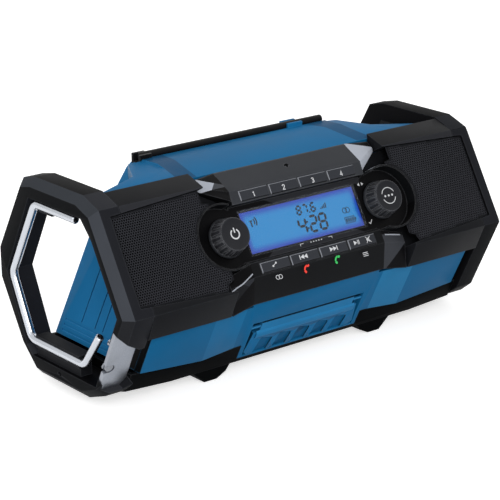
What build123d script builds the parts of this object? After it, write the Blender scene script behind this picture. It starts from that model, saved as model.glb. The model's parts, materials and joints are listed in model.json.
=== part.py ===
from build123d import *

import os
from math import cos, radians, sin, tan

# Compact jobsite radio: two loudspeakers in a leaning front, a control fascia with a display
# between two knobs, a guard ring on each end, a steel hanging hook in the left guard, a hinged
# flap over the ports, a folding antenna on the top and a battery bay in the rear.
# X runs along the length, Y points to the rear, Z up. The origin is on the table, under the middle.

# ---------------------------------------------------------------- driving dimensions (mm)
LENGTH = 357.0  # over both guards
DEPTH = 168.0  # front vertex of the guards to their rear
GUARD_WIDTH = 22.0  # along X
VERTEX_HEIGHT = 79.8  # height of the front vertex
UPPER_HEIGHT = 75.2  # from the vertex up to the top of the guards
GUARD_TOP = VERTEX_HEIGHT + UPPER_HEIGHT
GUARD_BOTTOM = 6.0
GUARD_CHAMFER = 6.0
FACE_LENGTH = 79.0  # front face, from the vertex up to its top crease
LEAN = radians(30)  # front face leans back
UNDERCUT = radians(26.6)  # guard below the vertex runs back under the face
PANEL_UNDERCUT = radians(27.4)  # blue panel below the face
SEAM = 0.3  # gap between fitted casings
EASY_FIT = 0.15  # clearance of a button in its slot
PIN_FIT = 0.05  # radial clearance of a pin or shaft in its bore
WALL = 3.0

HALF = LENGTH / 2
GUARD_INNER_X = HALF - GUARD_WIDTH
FRAME_X = GUARD_INNER_X - SEAM  # half length of the frame and base

# front face: origin of the slope coordinates (u up the slope, w outwards)
FRONT = -DEPTH / 2
REAR = DEPTH / 2
VERTEX = (FRONT, VERTEX_HEIGHT)
FACE_BELOW = 4.0  # slope length between the vertex and u = 0
FACE_Y = VERTEX[0] + FACE_BELOW * sin(LEAN)
FACE_Z = VERTEX[1] + FACE_BELOW * cos(LEAN)

# levels on the face, as w
GRILLE_LEVEL = -1.5
GRILLE_THICK = 1.5
PRESET_LEVEL = -3.2
BROW_LEVEL = -4.5
FUNCTION_LEVEL = -6.5
LOWER_LEVEL = -7.5
FLOOR_LEVEL = -11.7
FLOOR_THICK = 3.0
PLATE_LEVEL = FLOOR_LEVEL - FLOOR_THICK - SEAM
PLATE_THICK = 3.0
BOARD_LEVEL = -22.3
BOARD_THICK = 1.6

# places up the slope, as u
BROW_BOTTOM = 58.0
BROW_TOP = 68.0
PRESET_U = 63.0
FUNCTION_U = 9.5
KNOB_U = 36.8
DISPLAY_LOW = 21.6
DISPLAY_HIGH = 52.5
DISPLAY_HALF = 53.5

FASCIA_HALF = 66.0
FLANK_X = 83.0  # outer end of the fascia's sloping flanks
WELL_X = 77.0
WELL_RADIUS = 23.5
COLLAR_THICK = 1.3
KNOB_X = 72.7
KNOB_RADIUS = 12.3
KNOB_BASE_RADIUS = 14.7
KNOB_TOP = 2.6
KNOB_CLEAR = 1.5  # above the well's floor, more than the push
SHAFT_RADIUS = 3.0
BUTTON_PITCH = 27.5
BUTTON_LONG = 26.0
BUTTON_TALL = 7.6
BUTTON_DEEP = 4.6

# blue panel below the face: slope coordinates v up the slope, w outwards
PANEL_Y = FRONT + 15.9
PANEL_Z = VERTEX_HEIGHT - 22.3
PANEL_PROUD = 1.8  # outer parts stand proud of the middle with the flap
PROUD_FROM = 94.0  # the ramp between the two levels
PROUD_TO = 65.0

# top of the housing
HOUSING_REAR = REAR - 30.0
TOP_FRONT = (FRONT + 57.8, GUARD_TOP - 5.0)
TOP_BACK = (6.0, GUARD_TOP)
ANTENNA_Y = HOUSING_REAR - 24.0
ANTENNA_Z = GUARD_TOP
ANTENNA_RADIUS = 3.2
ANTENNA_LEFT = -84.0
ANTENNA_RIGHT = 87.0
CHANNEL_HALF = 4.2
CHANNEL_FLOOR = GUARD_TOP - 5.0
END_FOOT_X = HALF - 28.5
END_FOOT_Z = 26.5
END_LEAN = radians(26)

# hook
HOOK_X = -(HALF - 3.0)
HOOK_RADIUS = 3.0
HOOK_BEND = 9.0
HOOK_AXIS_Z = 31.5
CRADLE_FRONT = FRONT + 65.5
CRADLE_REAR = REAR - 46.5
BAR_TOP = 20.5  # top of the guard's bottom bar

REACH = 220.0  # longer than anything it cuts


def face_yz(u, w):
    """Point of the front face's slope coordinates as (y, z)."""
    return (FACE_Y + u * sin(LEAN) - w * cos(LEAN), FACE_Z + u * cos(LEAN) + w * sin(LEAN))


def face_at(x, u, w):
    """Plane parallel to the front face, facing outwards."""
    y, z = face_yz(u, w)
    return Plane(origin=(x, y, z), x_dir=(1, 0, 0), z_dir=(0, -cos(LEAN), sin(LEAN)))


def face_axial(x, u):
    """Plane through a face normal, for turned parts: local x is X, local y is outwards."""
    y, z = face_yz(u, 0)
    return Plane(origin=(x, y, z), x_dir=(1, 0, 0), z_dir=(0, -sin(LEAN), -cos(LEAN)))


def face_axis(x, u):
    """Axis along the outward normal of the front face."""
    y, z = face_yz(u, 0)
    return Axis((x, y, z), (0, -cos(LEAN), sin(LEAN)))


def panel_yz(v, w):
    """Point of the lower panel's slope coordinates as (y, z)."""
    s, c = sin(PANEL_UNDERCUT), cos(PANEL_UNDERCUT)
    return (PANEL_Y - v * s - w * c, PANEL_Z + v * c - w * s)


def panel_at(x, v, w):
    """Plane parallel to the lower panel, facing outwards and down."""
    y, z = panel_yz(v, w)
    return Plane(origin=(x, y, z), x_dir=(1, 0, 0), z_dir=(0, -cos(PANEL_UNDERCUT), -sin(PANEL_UNDERCUT)))


def panel_y(z, w=0.0):
    """Depth of the blue panel's surface at a height, or of a surface w outside it."""
    return PANEL_Y + (PANEL_Z - z) * tan(PANEL_UNDERCUT) - w / cos(PANEL_UNDERCUT)


def under_yz(t, w):
    """Point on the guard's undercut: t down from the vertex, w outwards."""
    s, c = sin(UNDERCUT), cos(UNDERCUT)
    return (VERTEX[0] + t * s - w * c, VERTEX[1] - t * c - w * s)


def under_at(x, t, w):
    """Plane parallel to the guard's undercut, facing outwards; local y runs up the slope."""
    y, z = under_yz(t, w)
    return Plane(origin=(x, y, z), x_dir=(1, 0, 0), z_dir=(0, -cos(UNDERCUT), -sin(UNDERCUT)))


def save(builder, name):
    """Label a finished piece and write its file."""
    builder.part.label = name
    export_step(builder.part, f"parts/{name}.step")


os.makedirs("parts", exist_ok=True)

# ---------------------------------------------------------------- guards on both ends
FACE_CREASE = face_yz(FACE_LENGTH - FACE_BELOW, 0)
UNDER_FOOT = (VERTEX_HEIGHT - 21.7) / cos(UNDERCUT)  # slope length down to the bottom corner
TOE = (FRONT + 40.0, 13.2)  # front of the guard's sloping underside
GUARD_OUTLINE = [
    VERTEX,
    FACE_CREASE,
    (FRONT + 58, GUARD_TOP),
    (REAR - 50, GUARD_TOP),
    (REAR - 34, GUARD_TOP - 3.5),
    (REAR, VERTEX_HEIGHT + 15.7),
    (REAR, VERTEX_HEIGHT - 10.3),
    (REAR - 27, 23.5),
    (REAR - 46, GUARD_BOTTOM),
    (TOE[0] + 20.0, GUARD_BOTTOM),
    TOE,
    under_yz(UNDER_FOOT, 0),
]
LIMB = 12.0  # front limb, from the face to the opening
OPENING_TOP = GUARD_TOP - 14.5
GUARD_OPENING = [
    (FRONT + 13.5, VERTEX_HEIGHT - 0.8),
    (FRONT + 41, VERTEX_HEIGHT + 47.7),
    (FRONT + 53.5, OPENING_TOP),
    (REAR - 48, OPENING_TOP),
    (REAR - 13.5, VERTEX_HEIGHT - 2.3),
    (REAR - 36.2, 26.7),
    (REAR - 43.4, BAR_TOP),
    (FRONT + (VERTEX_HEIGHT - BAR_TOP) * tan(UNDERCUT) + 13, BAR_TOP),
]
WINDOW_X = HALF - 13.2  # outer edge of the grille window
WINDOW_LOW = 3.2
WINDOW_HIGH = 69.3
OPENING_HALF = FLANK_X + 1.5  # central opening for the fascia
INNER_HIGH = 74.4
INNER_LOW = -2.3
LIMB_GAP_TOP = 30.0  # the left guard's lower front limb is open between these
LIMB_GAP_LOW = 64.5
PLATE_OFFSET = -8.0  # steel plate's face, inside the undercut
STEEL_THICK = 3.0


def window_outline(side, inset):
    """Outline of the grille window on one side, in (x, u), smaller by inset all round."""
    return [
        (side * (WINDOW_X - inset), WINDOW_HIGH - inset),
        (side * (OPENING_HALF - 1), INNER_HIGH - inset),
        (side * (OPENING_HALF - 1), INNER_LOW + inset),
        (side * (WINDOW_X - inset), WINDOW_LOW + inset),
    ]


def plate_outline(grow):
    """Outline of the steel plate in (x, -t), larger by grow on its free sides."""
    return [
        (-HALF - grow, -19 + grow),
        (-GUARD_INNER_X - 0.5, -33 + grow),
        (-GUARD_INNER_X - 0.5, -66 - grow),
        (-GUARD_INNER_X - 4.5, -71.5 - grow),
        (-HALF + 2.5 - grow, -71.5 - grow),
        (-HALF - grow, -62 - grow),
    ]


guards = {}
for side in (-1, 1):
    with BuildPart() as guard:
        with BuildSketch(Plane.YZ.offset(side * GUARD_INNER_X)):
            Polygon(*GUARD_OUTLINE, align=None)
        extrude(amount=side * GUARD_WIDTH)
        outer_face = guard.faces().sort_by(Axis.X)[-1 if side > 0 else 0]
        chamfer(outer_face.edges(), GUARD_CHAMFER)
        with BuildSketch(Plane.YZ.offset(side * GUARD_INNER_X)):
            Polygon(*GUARD_OPENING, align=None)
        extrude(amount=side * GUARD_WIDTH, mode=Mode.SUBTRACT)
        with BuildSketch(face_at(0, 0, 1)):
            Polygon(*window_outline(side, 0), align=None)
        extrude(amount=-(LIMB + 8), mode=Mode.SUBTRACT)
        if side < 0:
            with BuildSketch(under_at(0, 0, 1)):
                Polygon(*plate_outline(SEAM), align=None)
            extrude(amount=PLATE_OFFSET - STEEL_THICK - 1, mode=Mode.SUBTRACT)
            with BuildSketch(under_at(0, 0, 1)):
                with Locations((-(HALF + GUARD_INNER_X) / 2, -(LIMB_GAP_TOP + LIMB_GAP_LOW) / 2)):
                    Rectangle(GUARD_WIDTH + 2, LIMB_GAP_LOW - LIMB_GAP_TOP)
            extrude(amount=-(LIMB + 8), mode=Mode.SUBTRACT)
    guards[side] = guard.part

# ---------------------------------------------------------------- front frame
LIP_Z = VERTEX_HEIGHT - 20.3
FRAME_TOP = (FRONT + 57, GUARD_TOP - 1)
FRAME_SECTION = [
    VERTEX,
    FACE_CREASE,
    FRAME_TOP,
    face_yz(84, BROW_LEVEL - 9.5),
    face_yz(-2, PLATE_LEVEL),
    (FRONT + 14.5, LIP_Z),
    (FRONT + 9, LIP_Z),
]
SPEAKER_X = HALF - 51.0
SPEAKER_U = 36.0
SPEAKER_RADIUS = 25.5
CUTOUT_RADIUS = 23.0
STANDOFF_RADIUS = 3.0
STANDOFF_X = KNOB_X - 10.7
STANDOFF_SPAN = 50.0

with BuildPart() as front_frame:
    with BuildSketch(Plane.YZ):
        Polygon(*FRAME_SECTION, align=None)
    extrude(amount=FRAME_X, both=True)
    with BuildSketch(face_at(0, 40, 5)):
        Rectangle(2 * OPENING_HALF, 150)
    extrude(amount=-60, mode=Mode.SUBTRACT)
    with BuildSketch(face_at(0, 0, 2)):
        for side in (-1, 1):
            Polygon(*window_outline(side, 0), align=None)
    extrude(amount=-60, mode=Mode.SUBTRACT)
    with BuildSketch(face_at(0, 36, PLATE_LEVEL)):
        Rectangle(2 * FRAME_X - 4, 76)
        with Locations((-SPEAKER_X, SPEAKER_U - 36), (SPEAKER_X, SPEAKER_U - 36)):
            Circle(CUTOUT_RADIUS, mode=Mode.SUBTRACT)
        with Locations((0, 1)):
            Rectangle(2 * DISPLAY_HALF + 4, 37, mode=Mode.SUBTRACT)
        with Locations((-KNOB_X, KNOB_U - 36), (KNOB_X, KNOB_U - 36)):
            Rectangle(15, 15, mode=Mode.SUBTRACT)
    extrude(amount=-PLATE_THICK)
    with BuildSketch(face_at(0, 36, PLATE_LEVEL - PLATE_THICK)):
        with GridLocations(2 * STANDOFF_X, STANDOFF_SPAN, 2, 2):
            Circle(STANDOFF_RADIUS)
    extrude(amount=BOARD_LEVEL - PLATE_LEVEL + PLATE_THICK)
save(front_frame, "front_frame")

# ---------------------------------------------------------------- speaker grilles
GRILLE_CLEAR = 0.4
for side, name in ((-1, "grille_left"), (1, "grille_right")):
    with BuildPart() as grille:
        with BuildSketch(face_at(0, 0, GRILLE_LEVEL)):
            Polygon(*window_outline(side, GRILLE_CLEAR), align=None)
            Polygon(
                (side * (FLANK_X + 6), INNER_HIGH + 1),
                (side * (FLANK_X + 6), 64),
                (side * 67.5, 60),
                (side * 60, 60),
                (side * 60, INNER_HIGH + 1),
                align=None,
                mode=Mode.SUBTRACT,
            )
            Polygon(
                (side * (FLANK_X + 8.5), INNER_LOW - 1),
                (side * (FLANK_X + 6), 3.5),
                (side * 67.5, 13.5),
                (side * 60, 13.5),
                (side * 60, INNER_LOW - 1),
                align=None,
                mode=Mode.SUBTRACT,
            )
            with Locations((side * WELL_X, KNOB_U)):
                Circle(WELL_RADIUS + COLLAR_THICK + SEAM, mode=Mode.SUBTRACT)
        extrude(amount=-GRILLE_THICK)
    save(grille, name)

# ---------------------------------------------------------------- control fascia
FASCIA_LOW = (FRONT + 11.5, VERTEX_HEIGHT - 17.2)
FASCIA_BACK = FLOOR_LEVEL - FLOOR_THICK
FASCIA_SECTION = [
    (TOP_FRONT[0] - SEAM, TOP_FRONT[1]),
    face_yz(BROW_TOP, BROW_LEVEL + 1),
    face_yz(BROW_BOTTOM, BROW_LEVEL),
    face_yz(BROW_BOTTOM, FLOOR_LEVEL),
    face_yz(16.5, FLOOR_LEVEL),
    face_yz(15, LOWER_LEVEL),
    face_yz(4.5, LOWER_LEVEL),
    FASCIA_LOW,
    (FASCIA_LOW[0] + 3.5, FASCIA_LOW[1]),
    face_yz(-1.5, FASCIA_BACK),
    face_yz(77, FASCIA_BACK),
    (TOP_FRONT[0] - 2.2, TOP_FRONT[1] - 4),
]
FLANK_TOP_INNER = [
    (TOP_FRONT[0] - SEAM, TOP_FRONT[1]),
    face_yz(BROW_TOP, BROW_LEVEL + 1),
    face_yz(61, BROW_LEVEL),
    face_yz(61, FASCIA_BACK),
    face_yz(77, FASCIA_BACK),
]
FLANK_TOP_OUTER = [
    face_yz(83, -13),
    face_yz(77, -10),
    face_yz(74, -10.5),
    face_yz(74, FASCIA_BACK),
    face_yz(80, FASCIA_BACK),
]
FLANK_LOW_INNER = [
    face_yz(14.5, LOWER_LEVEL),
    face_yz(4.5, LOWER_LEVEL),
    FASCIA_LOW,
    (FASCIA_LOW[0] + 3.5, FASCIA_LOW[1]),
    face_yz(-1.5, FASCIA_BACK),
    face_yz(14.5, FASCIA_BACK),
]
FLANK_LOW_OUTER = [
    face_yz(9, -10),
    face_yz(1, -10),
    (FRONT + 9.0, LIP_Z),
    (FRONT + 12.5, LIP_Z),
    face_yz(-2, FASCIA_BACK),
    face_yz(9, FASCIA_BACK),
]
MIC_U = 77.7
MIC_RADIUS = 2.2
BUTTON_PLACES = [BUTTON_PITCH * (i - 1.5) for i in range(4)]
SWITCH_LEVEL = PRESET_LEVEL - BUTTON_DEEP - 2.0  # front of the preset key mat
FUNCTION_MAT_LEVEL = FUNCTION_LEVEL - BUTTON_DEEP - 1.6
LENS_MARGIN = 1.5
LENS_THICK = 1.2

with BuildPart() as control_fascia:
    with BuildSketch(Plane.YZ):
        Polygon(*FASCIA_SECTION, align=None)
    extrude(amount=FASCIA_HALF - 4, both=True)
    for side in (-1, 1):
        for inner, outer in ((FLANK_TOP_INNER, FLANK_TOP_OUTER), (FLANK_LOW_INNER, FLANK_LOW_OUTER)):
            with BuildSketch(Plane.YZ.offset(side * (FASCIA_HALF - 4))):
                Polygon(*inner, align=None)
            with BuildSketch(Plane.YZ.offset(side * FLANK_X)):
                Polygon(*outer, align=None)
            loft()
    with BuildSketch(face_at(0, KNOB_U, FLOOR_LEVEL)):
        with Locations((-WELL_X, 0), (WELL_X, 0)):
            Circle(WELL_RADIUS + COLLAR_THICK)
    extrude(amount=-FLOOR_THICK)
    with BuildSketch(face_at(0, KNOB_U, FLOOR_LEVEL)):
        with Locations((-WELL_X, 0), (WELL_X, 0)):
            Circle(WELL_RADIUS + COLLAR_THICK)
            Circle(WELL_RADIUS, mode=Mode.SUBTRACT)
        Rectangle(2 * FASCIA_HALF + 2, 2 * WELL_RADIUS + 10, mode=Mode.SUBTRACT)
    extrude(amount=GRILLE_LEVEL - 0.2 - FLOOR_LEVEL)
    # clears the knobs where the brow and the lower panel reach into the wells
    with BuildSketch(face_at(0, KNOB_U, FLOOR_LEVEL)):
        with Locations((-KNOB_X, 0), (KNOB_X, 0)):
            Circle(KNOB_BASE_RADIUS + 5)
    extrude(amount=REACH / 10, mode=Mode.SUBTRACT)
    # display opening with its lens pocket
    with BuildSketch(face_at(0, (DISPLAY_LOW + DISPLAY_HIGH) / 2, 1)):
        Rectangle(2 * DISPLAY_HALF, DISPLAY_HIGH - DISPLAY_LOW)
    extrude(amount=-REACH / 10, mode=Mode.SUBTRACT)
    with BuildSketch(face_at(0, (DISPLAY_LOW + DISPLAY_HIGH) / 2, FLOOR_LEVEL)):
        Rectangle(2 * (DISPLAY_HALF + LENS_MARGIN), DISPLAY_HIGH - DISPLAY_LOW + 2 * LENS_MARGIN)
    extrude(amount=-LENS_THICK, mode=Mode.SUBTRACT)
    # button slots, and the pockets for the key mats behind them
    for u in (PRESET_U, FUNCTION_U):
        with BuildSketch(face_at(0, u, 2)):
            with Locations(*[(x, 0) for x in BUTTON_PLACES]):
                Rectangle(BUTTON_LONG + 2 * EASY_FIT, BUTTON_TALL + 2 * EASY_FIT)
        extrude(amount=-REACH / 10, mode=Mode.SUBTRACT)
    with BuildSketch(face_at(0, PRESET_U, SWITCH_LEVEL + SEAM)):
        Rectangle(4 * BUTTON_PITCH + 2, BUTTON_TALL + 2)
    extrude(amount=-REACH / 10, mode=Mode.SUBTRACT)
    with BuildSketch(face_at(0, FUNCTION_U, FUNCTION_MAT_LEVEL + SEAM)):
        Rectangle(4 * BUTTON_PITCH + 2, BUTTON_TALL + 2)
    extrude(amount=-REACH / 10, mode=Mode.SUBTRACT)
    with BuildSketch(face_at(0, KNOB_U, 0)):
        with Locations((-KNOB_X, 0), (KNOB_X, 0)):
            Circle(SHAFT_RADIUS + 1.5)
    extrude(amount=-REACH / 10, mode=Mode.SUBTRACT)
    with BuildSketch(face_at(0, MIC_U, 5)):
        Circle(0.9)
    extrude(amount=-REACH / 10, mode=Mode.SUBTRACT)
    with BuildSketch(face_at(0, MIC_U, -10)):
        Circle(MIC_RADIUS + 0.1)
    extrude(amount=-REACH / 10, mode=Mode.SUBTRACT)
save(control_fascia, "control_fascia")

with BuildPart() as display_window:
    with BuildSketch(face_at(0, (DISPLAY_LOW + DISPLAY_HIGH) / 2, FLOOR_LEVEL)):
        Rectangle(
            2 * (DISPLAY_HALF + LENS_MARGIN - EASY_FIT),
            DISPLAY_HIGH - DISPLAY_LOW + 2 * (LENS_MARGIN - EASY_FIT),
        )
    extrude(amount=-LENS_THICK)
save(display_window, "display_window")

LCD_FRONT = FLOOR_LEVEL - LENS_THICK - 0.2
with BuildPart() as lcd_module:
    with BuildSketch(face_at(0, (DISPLAY_LOW + DISPLAY_HIGH) / 2, LCD_FRONT)):
        Rectangle(2 * (DISPLAY_HALF - EASY_FIT), DISPLAY_HIGH - DISPLAY_LOW - 2 * EASY_FIT)
    extrude(amount=BOARD_LEVEL - LCD_FRONT)
save(lcd_module, "lcd_module")

with BuildPart() as microphone:
    with BuildSketch(face_at(0, MIC_U, -10.2)):
        Circle(MIC_RADIUS)
    extrude(amount=-3)
save(microphone, "microphone")

# ---------------------------------------------------------------- buttons and key mats
for row, u, level in (("preset", PRESET_U, PRESET_LEVEL), ("function", FUNCTION_U, FUNCTION_LEVEL)):
    for i, x in enumerate(BUTTON_PLACES):
        with BuildPart() as button:
            with BuildSketch(face_at(x, u, level)):
                Rectangle(BUTTON_LONG, BUTTON_TALL)
            extrude(amount=-BUTTON_DEEP)
            front = button.faces().sort_by(Axis((0, 0, 0), (0, -cos(LEAN), sin(LEAN))))[-1]
            fillet(front.edges(), 0.8)
        save(button, f"{row}_button_{i + 1}")

for name, u, level, thick in (
    ("preset_keymat", PRESET_U, SWITCH_LEVEL, 2.0),
    ("function_keymat", FUNCTION_U, FUNCTION_MAT_LEVEL, 1.8),
):
    with BuildPart() as keymat:
        with BuildSketch(face_at(0, u, level)):
            Rectangle(4 * BUTTON_PITCH + 1.6, BUTTON_TALL + 1.6)
        extrude(amount=-thick)
    save(keymat, name)

# ---------------------------------------------------------------- knobs, shafts and encoders
KNOB_BOTTOM = FLOOR_LEVEL + KNOB_CLEAR
SHAFT_TOP = KNOB_TOP - 3.0
SHAFT_LOW = -19.0
PLUNGER_THICK = 1.2
NECK_RADIUS = 4.2
for side, name in ((-1, "volume"), (1, "tuning")):
    x = side * KNOB_X
    with BuildPart() as knob:
        with BuildSketch(face_axial(x, KNOB_U)):
            Polygon(
                (0, KNOB_BOTTOM),
                (KNOB_BASE_RADIUS, KNOB_BOTTOM),
                (KNOB_BASE_RADIUS, KNOB_BOTTOM + 2.5),
                (KNOB_RADIUS + 0.6, KNOB_TOP - 1),
                (KNOB_RADIUS - 0.4, KNOB_TOP),
                (0, KNOB_TOP),
                align=None,
            )
        revolve(axis=face_axis(x, KNOB_U))
        with BuildSketch(face_at(x, KNOB_U, KNOB_BOTTOM)):
            Circle(SHAFT_RADIUS + PIN_FIT)
        extrude(amount=SHAFT_TOP - KNOB_BOTTOM, mode=Mode.SUBTRACT)
    save(knob, f"{name}_knob")
    with BuildPart() as shaft:
        with BuildSketch(face_at(x, KNOB_U, SHAFT_LOW)):
            Circle(SHAFT_RADIUS)
        extrude(amount=SHAFT_TOP - SHAFT_LOW - 0.2)
    save(shaft, f"{name}_shaft")
    with BuildPart() as plunger:
        with BuildSketch(face_at(x, KNOB_U, SHAFT_LOW - 0.1)):
            Circle(SHAFT_RADIUS)
        extrude(amount=-PLUNGER_THICK)
    save(plunger, f"{name}_plunger")
    with BuildPart() as encoder:
        with BuildSketch(face_at(x, KNOB_U, PLATE_LEVEL)):
            Rectangle(13, 13)
        extrude(amount=BOARD_LEVEL - PLATE_LEVEL)
        with BuildSketch(face_at(x, KNOB_U, PLATE_LEVEL)):
            Circle(NECK_RADIUS)
        extrude(amount=3.0)
        with BuildSketch(face_at(x, KNOB_U, 0)):
            Circle(SHAFT_RADIUS + PIN_FIT)
        extrude(amount=BOARD_LEVEL + 0.5, mode=Mode.SUBTRACT)
    save(encoder, f"{name}_encoder")

CONTROL_BOARD_U = 36.0
CONTROL_BOARD_LONG = 2 * (KNOB_X + 11.3)
CONTROL_BOARD_TALL = 66.0
with BuildPart() as control_board:
    with BuildSketch(face_at(0, CONTROL_BOARD_U, BOARD_LEVEL)):
        Rectangle(CONTROL_BOARD_LONG, CONTROL_BOARD_TALL)
    extrude(amount=-BOARD_THICK)
save(control_board, "control_board")

# ---------------------------------------------------------------- loudspeakers and their enclosures
ENCLOSURE_DEPTH = 20.0
ENCLOSURE_WIDTH = 52.0
ENCLOSURE_HEIGHT = 66.0
ENCLOSURE_FRONT = PLATE_LEVEL - PLATE_THICK - SEAM
for side, tag in ((-1, "left"), (1, "right")):
    x = side * SPEAKER_X
    with BuildPart() as speaker:
        with BuildSketch(face_axial(x, SPEAKER_U)):
            Polygon(
                (CUTOUT_RADIUS - 3.5, PLATE_LEVEL + 2.2),
                (SPEAKER_RADIUS, PLATE_LEVEL + 2.2),
                (SPEAKER_RADIUS, PLATE_LEVEL + 0.1),
                (CUTOUT_RADIUS - 1, PLATE_LEVEL + 0.1),
                (14, PLATE_LEVEL - 11),
                (14, PLATE_LEVEL - 18.5),
                (0, PLATE_LEVEL - 18.5),
                (0, PLATE_LEVEL - 12.5),
                (11.5, PLATE_LEVEL - 10.5),
                align=None,
            )
        revolve(axis=face_axis(x, SPEAKER_U))
    save(speaker, f"speaker_{tag}")
    with BuildPart() as cone:
        with BuildSketch(face_axial(x, SPEAKER_U)):
            Polygon(
                (0, PLATE_LEVEL - 6.5),
                (6, PLATE_LEVEL - 8),
                (CUTOUT_RADIUS - 4.8, PLATE_LEVEL + 1.4),
                (CUTOUT_RADIUS - 4.8, PLATE_LEVEL + 2.2),
                (6, PLATE_LEVEL - 5.5),
                (0, PLATE_LEVEL - 4.5),
                align=None,
            )
        revolve(axis=face_axis(x, SPEAKER_U))
    save(cone, f"speaker_cone_{tag}")
    with BuildPart() as enclosure:
        with BuildSketch(face_at(x, SPEAKER_U, ENCLOSURE_FRONT)):
            Rectangle(ENCLOSURE_WIDTH, ENCLOSURE_HEIGHT)
        extrude(amount=-ENCLOSURE_DEPTH)
        rear_face = enclosure.faces().sort_by(Axis((0, 0, 0), (0, -cos(LEAN), sin(LEAN))))[0]
        chamfer(rear_face.edges(), 4)
        with BuildSketch(face_at(x, SPEAKER_U, ENCLOSURE_FRONT)):
            Rectangle(ENCLOSURE_WIDTH - 5, ENCLOSURE_HEIGHT - 5)
        extrude(amount=-ENCLOSURE_DEPTH + 2.5, mode=Mode.SUBTRACT)
    save(enclosure, f"speaker_enclosure_{tag}")

# ---------------------------------------------------------------- main housing
RIM = [(62, 24.5), (94, 22.0), (END_FOOT_X, 27.5), (FRAME_X + 4, 28.1)]
PORT_GAP_X = 57.0
PORT_GAP_Z = 12.4
REAR_LOW = (HOUSING_REAR, 20)
PANEL_TOP = LIP_Z - SEAM
PANEL_CREST = FASCIA_LOW[1] - SEAM  # the panel's top between the fascia's flanks
CREST_HALF = FASCIA_HALF - 6.0
SILL_Y = FRONT + 19.5
REAR_TOE_Y = HOUSING_REAR - 8
BASE_BOTTOM = 9.2


def end_x(z, inset):
    """Half length of the housing between its leaning end walls at a height."""
    return END_FOOT_X - (z - END_FOOT_Z) * tan(END_LEAN) - inset / cos(END_LEAN)


def end_at(side):
    """Plane on the leaning end wall of one side: local x is Y times the side, local y runs up."""
    return Plane(
        origin=(side * END_FOOT_X, 0, END_FOOT_Z),
        x_dir=(0, side, 0),
        z_dir=(side * cos(END_LEAN), 0, sin(END_LEAN)),
    )


def end_outline(inset):
    """Outline of the housing between its leaning end walls, in (x, z)."""
    high = GUARD_TOP + 10
    return [
        (-end_x(0, inset), 0),
        (end_x(0, inset), 0),
        (end_x(high, inset), high),
        (-end_x(high, inset), high),
    ]


def rim_outline(far, gap):
    """Region on one side of the rim line between housing and base, in (x, z)."""
    half = [(PORT_GAP_X + gap, PORT_GAP_Z - gap), (PORT_GAP_X + gap, RIM[0][1] - gap)]
    half += [(x, z - gap) for x, z in RIM]
    line = [(-x, z) for x, z in reversed(half)] + half
    return line + [(REACH, line[-1][1]), (REACH, far), (-REACH, far), (-REACH, line[0][1])]


HOUSING_SECTION = [
    TOP_FRONT,
    TOP_BACK,
    (ANTENNA_Y - CHANNEL_HALF, GUARD_TOP - 0.8),
    (ANTENNA_Y + CHANNEL_HALF, GUARD_TOP - 2.2),
    (HOUSING_REAR - 15, GUARD_TOP - 8.5),
    (HOUSING_REAR - 11, GUARD_TOP - 24.5),
    (HOUSING_REAR, GUARD_TOP - 34.5),
    REAR_LOW,
    (REAR_TOE_Y, 10.5),
    (panel_y(10.5), 10.5),
    (panel_y(PANEL_TOP), PANEL_TOP),
    (SILL_Y, PANEL_TOP),
    face_yz(4, PLATE_LEVEL - PLATE_THICK - SEAM),
    face_yz(83, PLATE_LEVEL - PLATE_THICK - SEAM),
]
COVER_HALF = 71.0
COVER_LOW = 34.0
COVER_HIGH = 117.0
BOSS_X = 66.0
BOSS_HEIGHTS = (40.0, 111.0)
LUG_X = 110.0
LUG_SPOTS = (FRONT + 46.0, HOUSING_REAR - 9.0)  # front and rear lugs that the base is screwed to
LUG_LOW = 28.5
JAW_X = 57.0
JAW_LONG = 14.0
JAW_TOP = GUARD_TOP + 2.8
ROD_FIT = 0.3
PIVOT_X = ANTENNA_LEFT
PIVOT_HALF = 5.5
PIVOT_LONG = 11.0
PIVOT_FLOOR = GUARD_TOP - 6.2
PIVOT_PIN_RADIUS = 1.5
PORT_HALF = 53.3
PORT_TOP_V = -16.8
PORT_LOW_V = -49.8
PORT_BLOCK = 12.0
FLAP_PIN_V = -22.8
FLAP_PIN_W = -2.1
FLAP_PIN_RADIUS = 1.5
FLAP_POCKET = 4.2
HUB_POCKET = 8.8
HUB_LOW_V = -29.2
AUX_X = -20.0
DC_X = 20.0
JACK_V = -39.0
AUX_RADIUS = 4.0
DC_RADIUS = 5.0
ENCLOSURE_GAP = 0.5
SCREW_PILOT = 1.45
RIB_SPOTS = (28.0, 10.7, 1.0)  # vertical grooves of the end walls, as Y
RIB_LOW = 15.5
RIB_HIGH = 112.0
RIB_GROOVE = 1.6
RIB_DEEP = 0.9
STEP_SPOTS = (5.0, 9.0, 13.0)  # level grooves near the foot of the end walls, up the slope
STEP_Y = 8.0
STEP_LONG = 80.0
SHOULDER_UNDER = GUARD_TOP - 14.0
SHOULDER_END = HALF - 29.0
SHOULDER_PLAN = [
    (HALF - 92.5, FRONT),
    (SHOULDER_END, FRONT),
    (SHOULDER_END, FRONT + 72.0),
    (HALF - 65.5, REAR - 84.0),
    (HALF - 80.5, REAR - 56.0),
    (HALF - 92.5, REAR - 55.0),
]
SHOULDER_RISE = [(SHOULDER_END, SHOULDER_UNDER), (SHOULDER_END, GUARD_TOP - 6.6), (HALF - 87.5, GUARD_TOP - 1.8)]
CHEEK_LOW = 20.0
CHEEK_LONG = 30.0
CHEEK_THICK = 5.0

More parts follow.
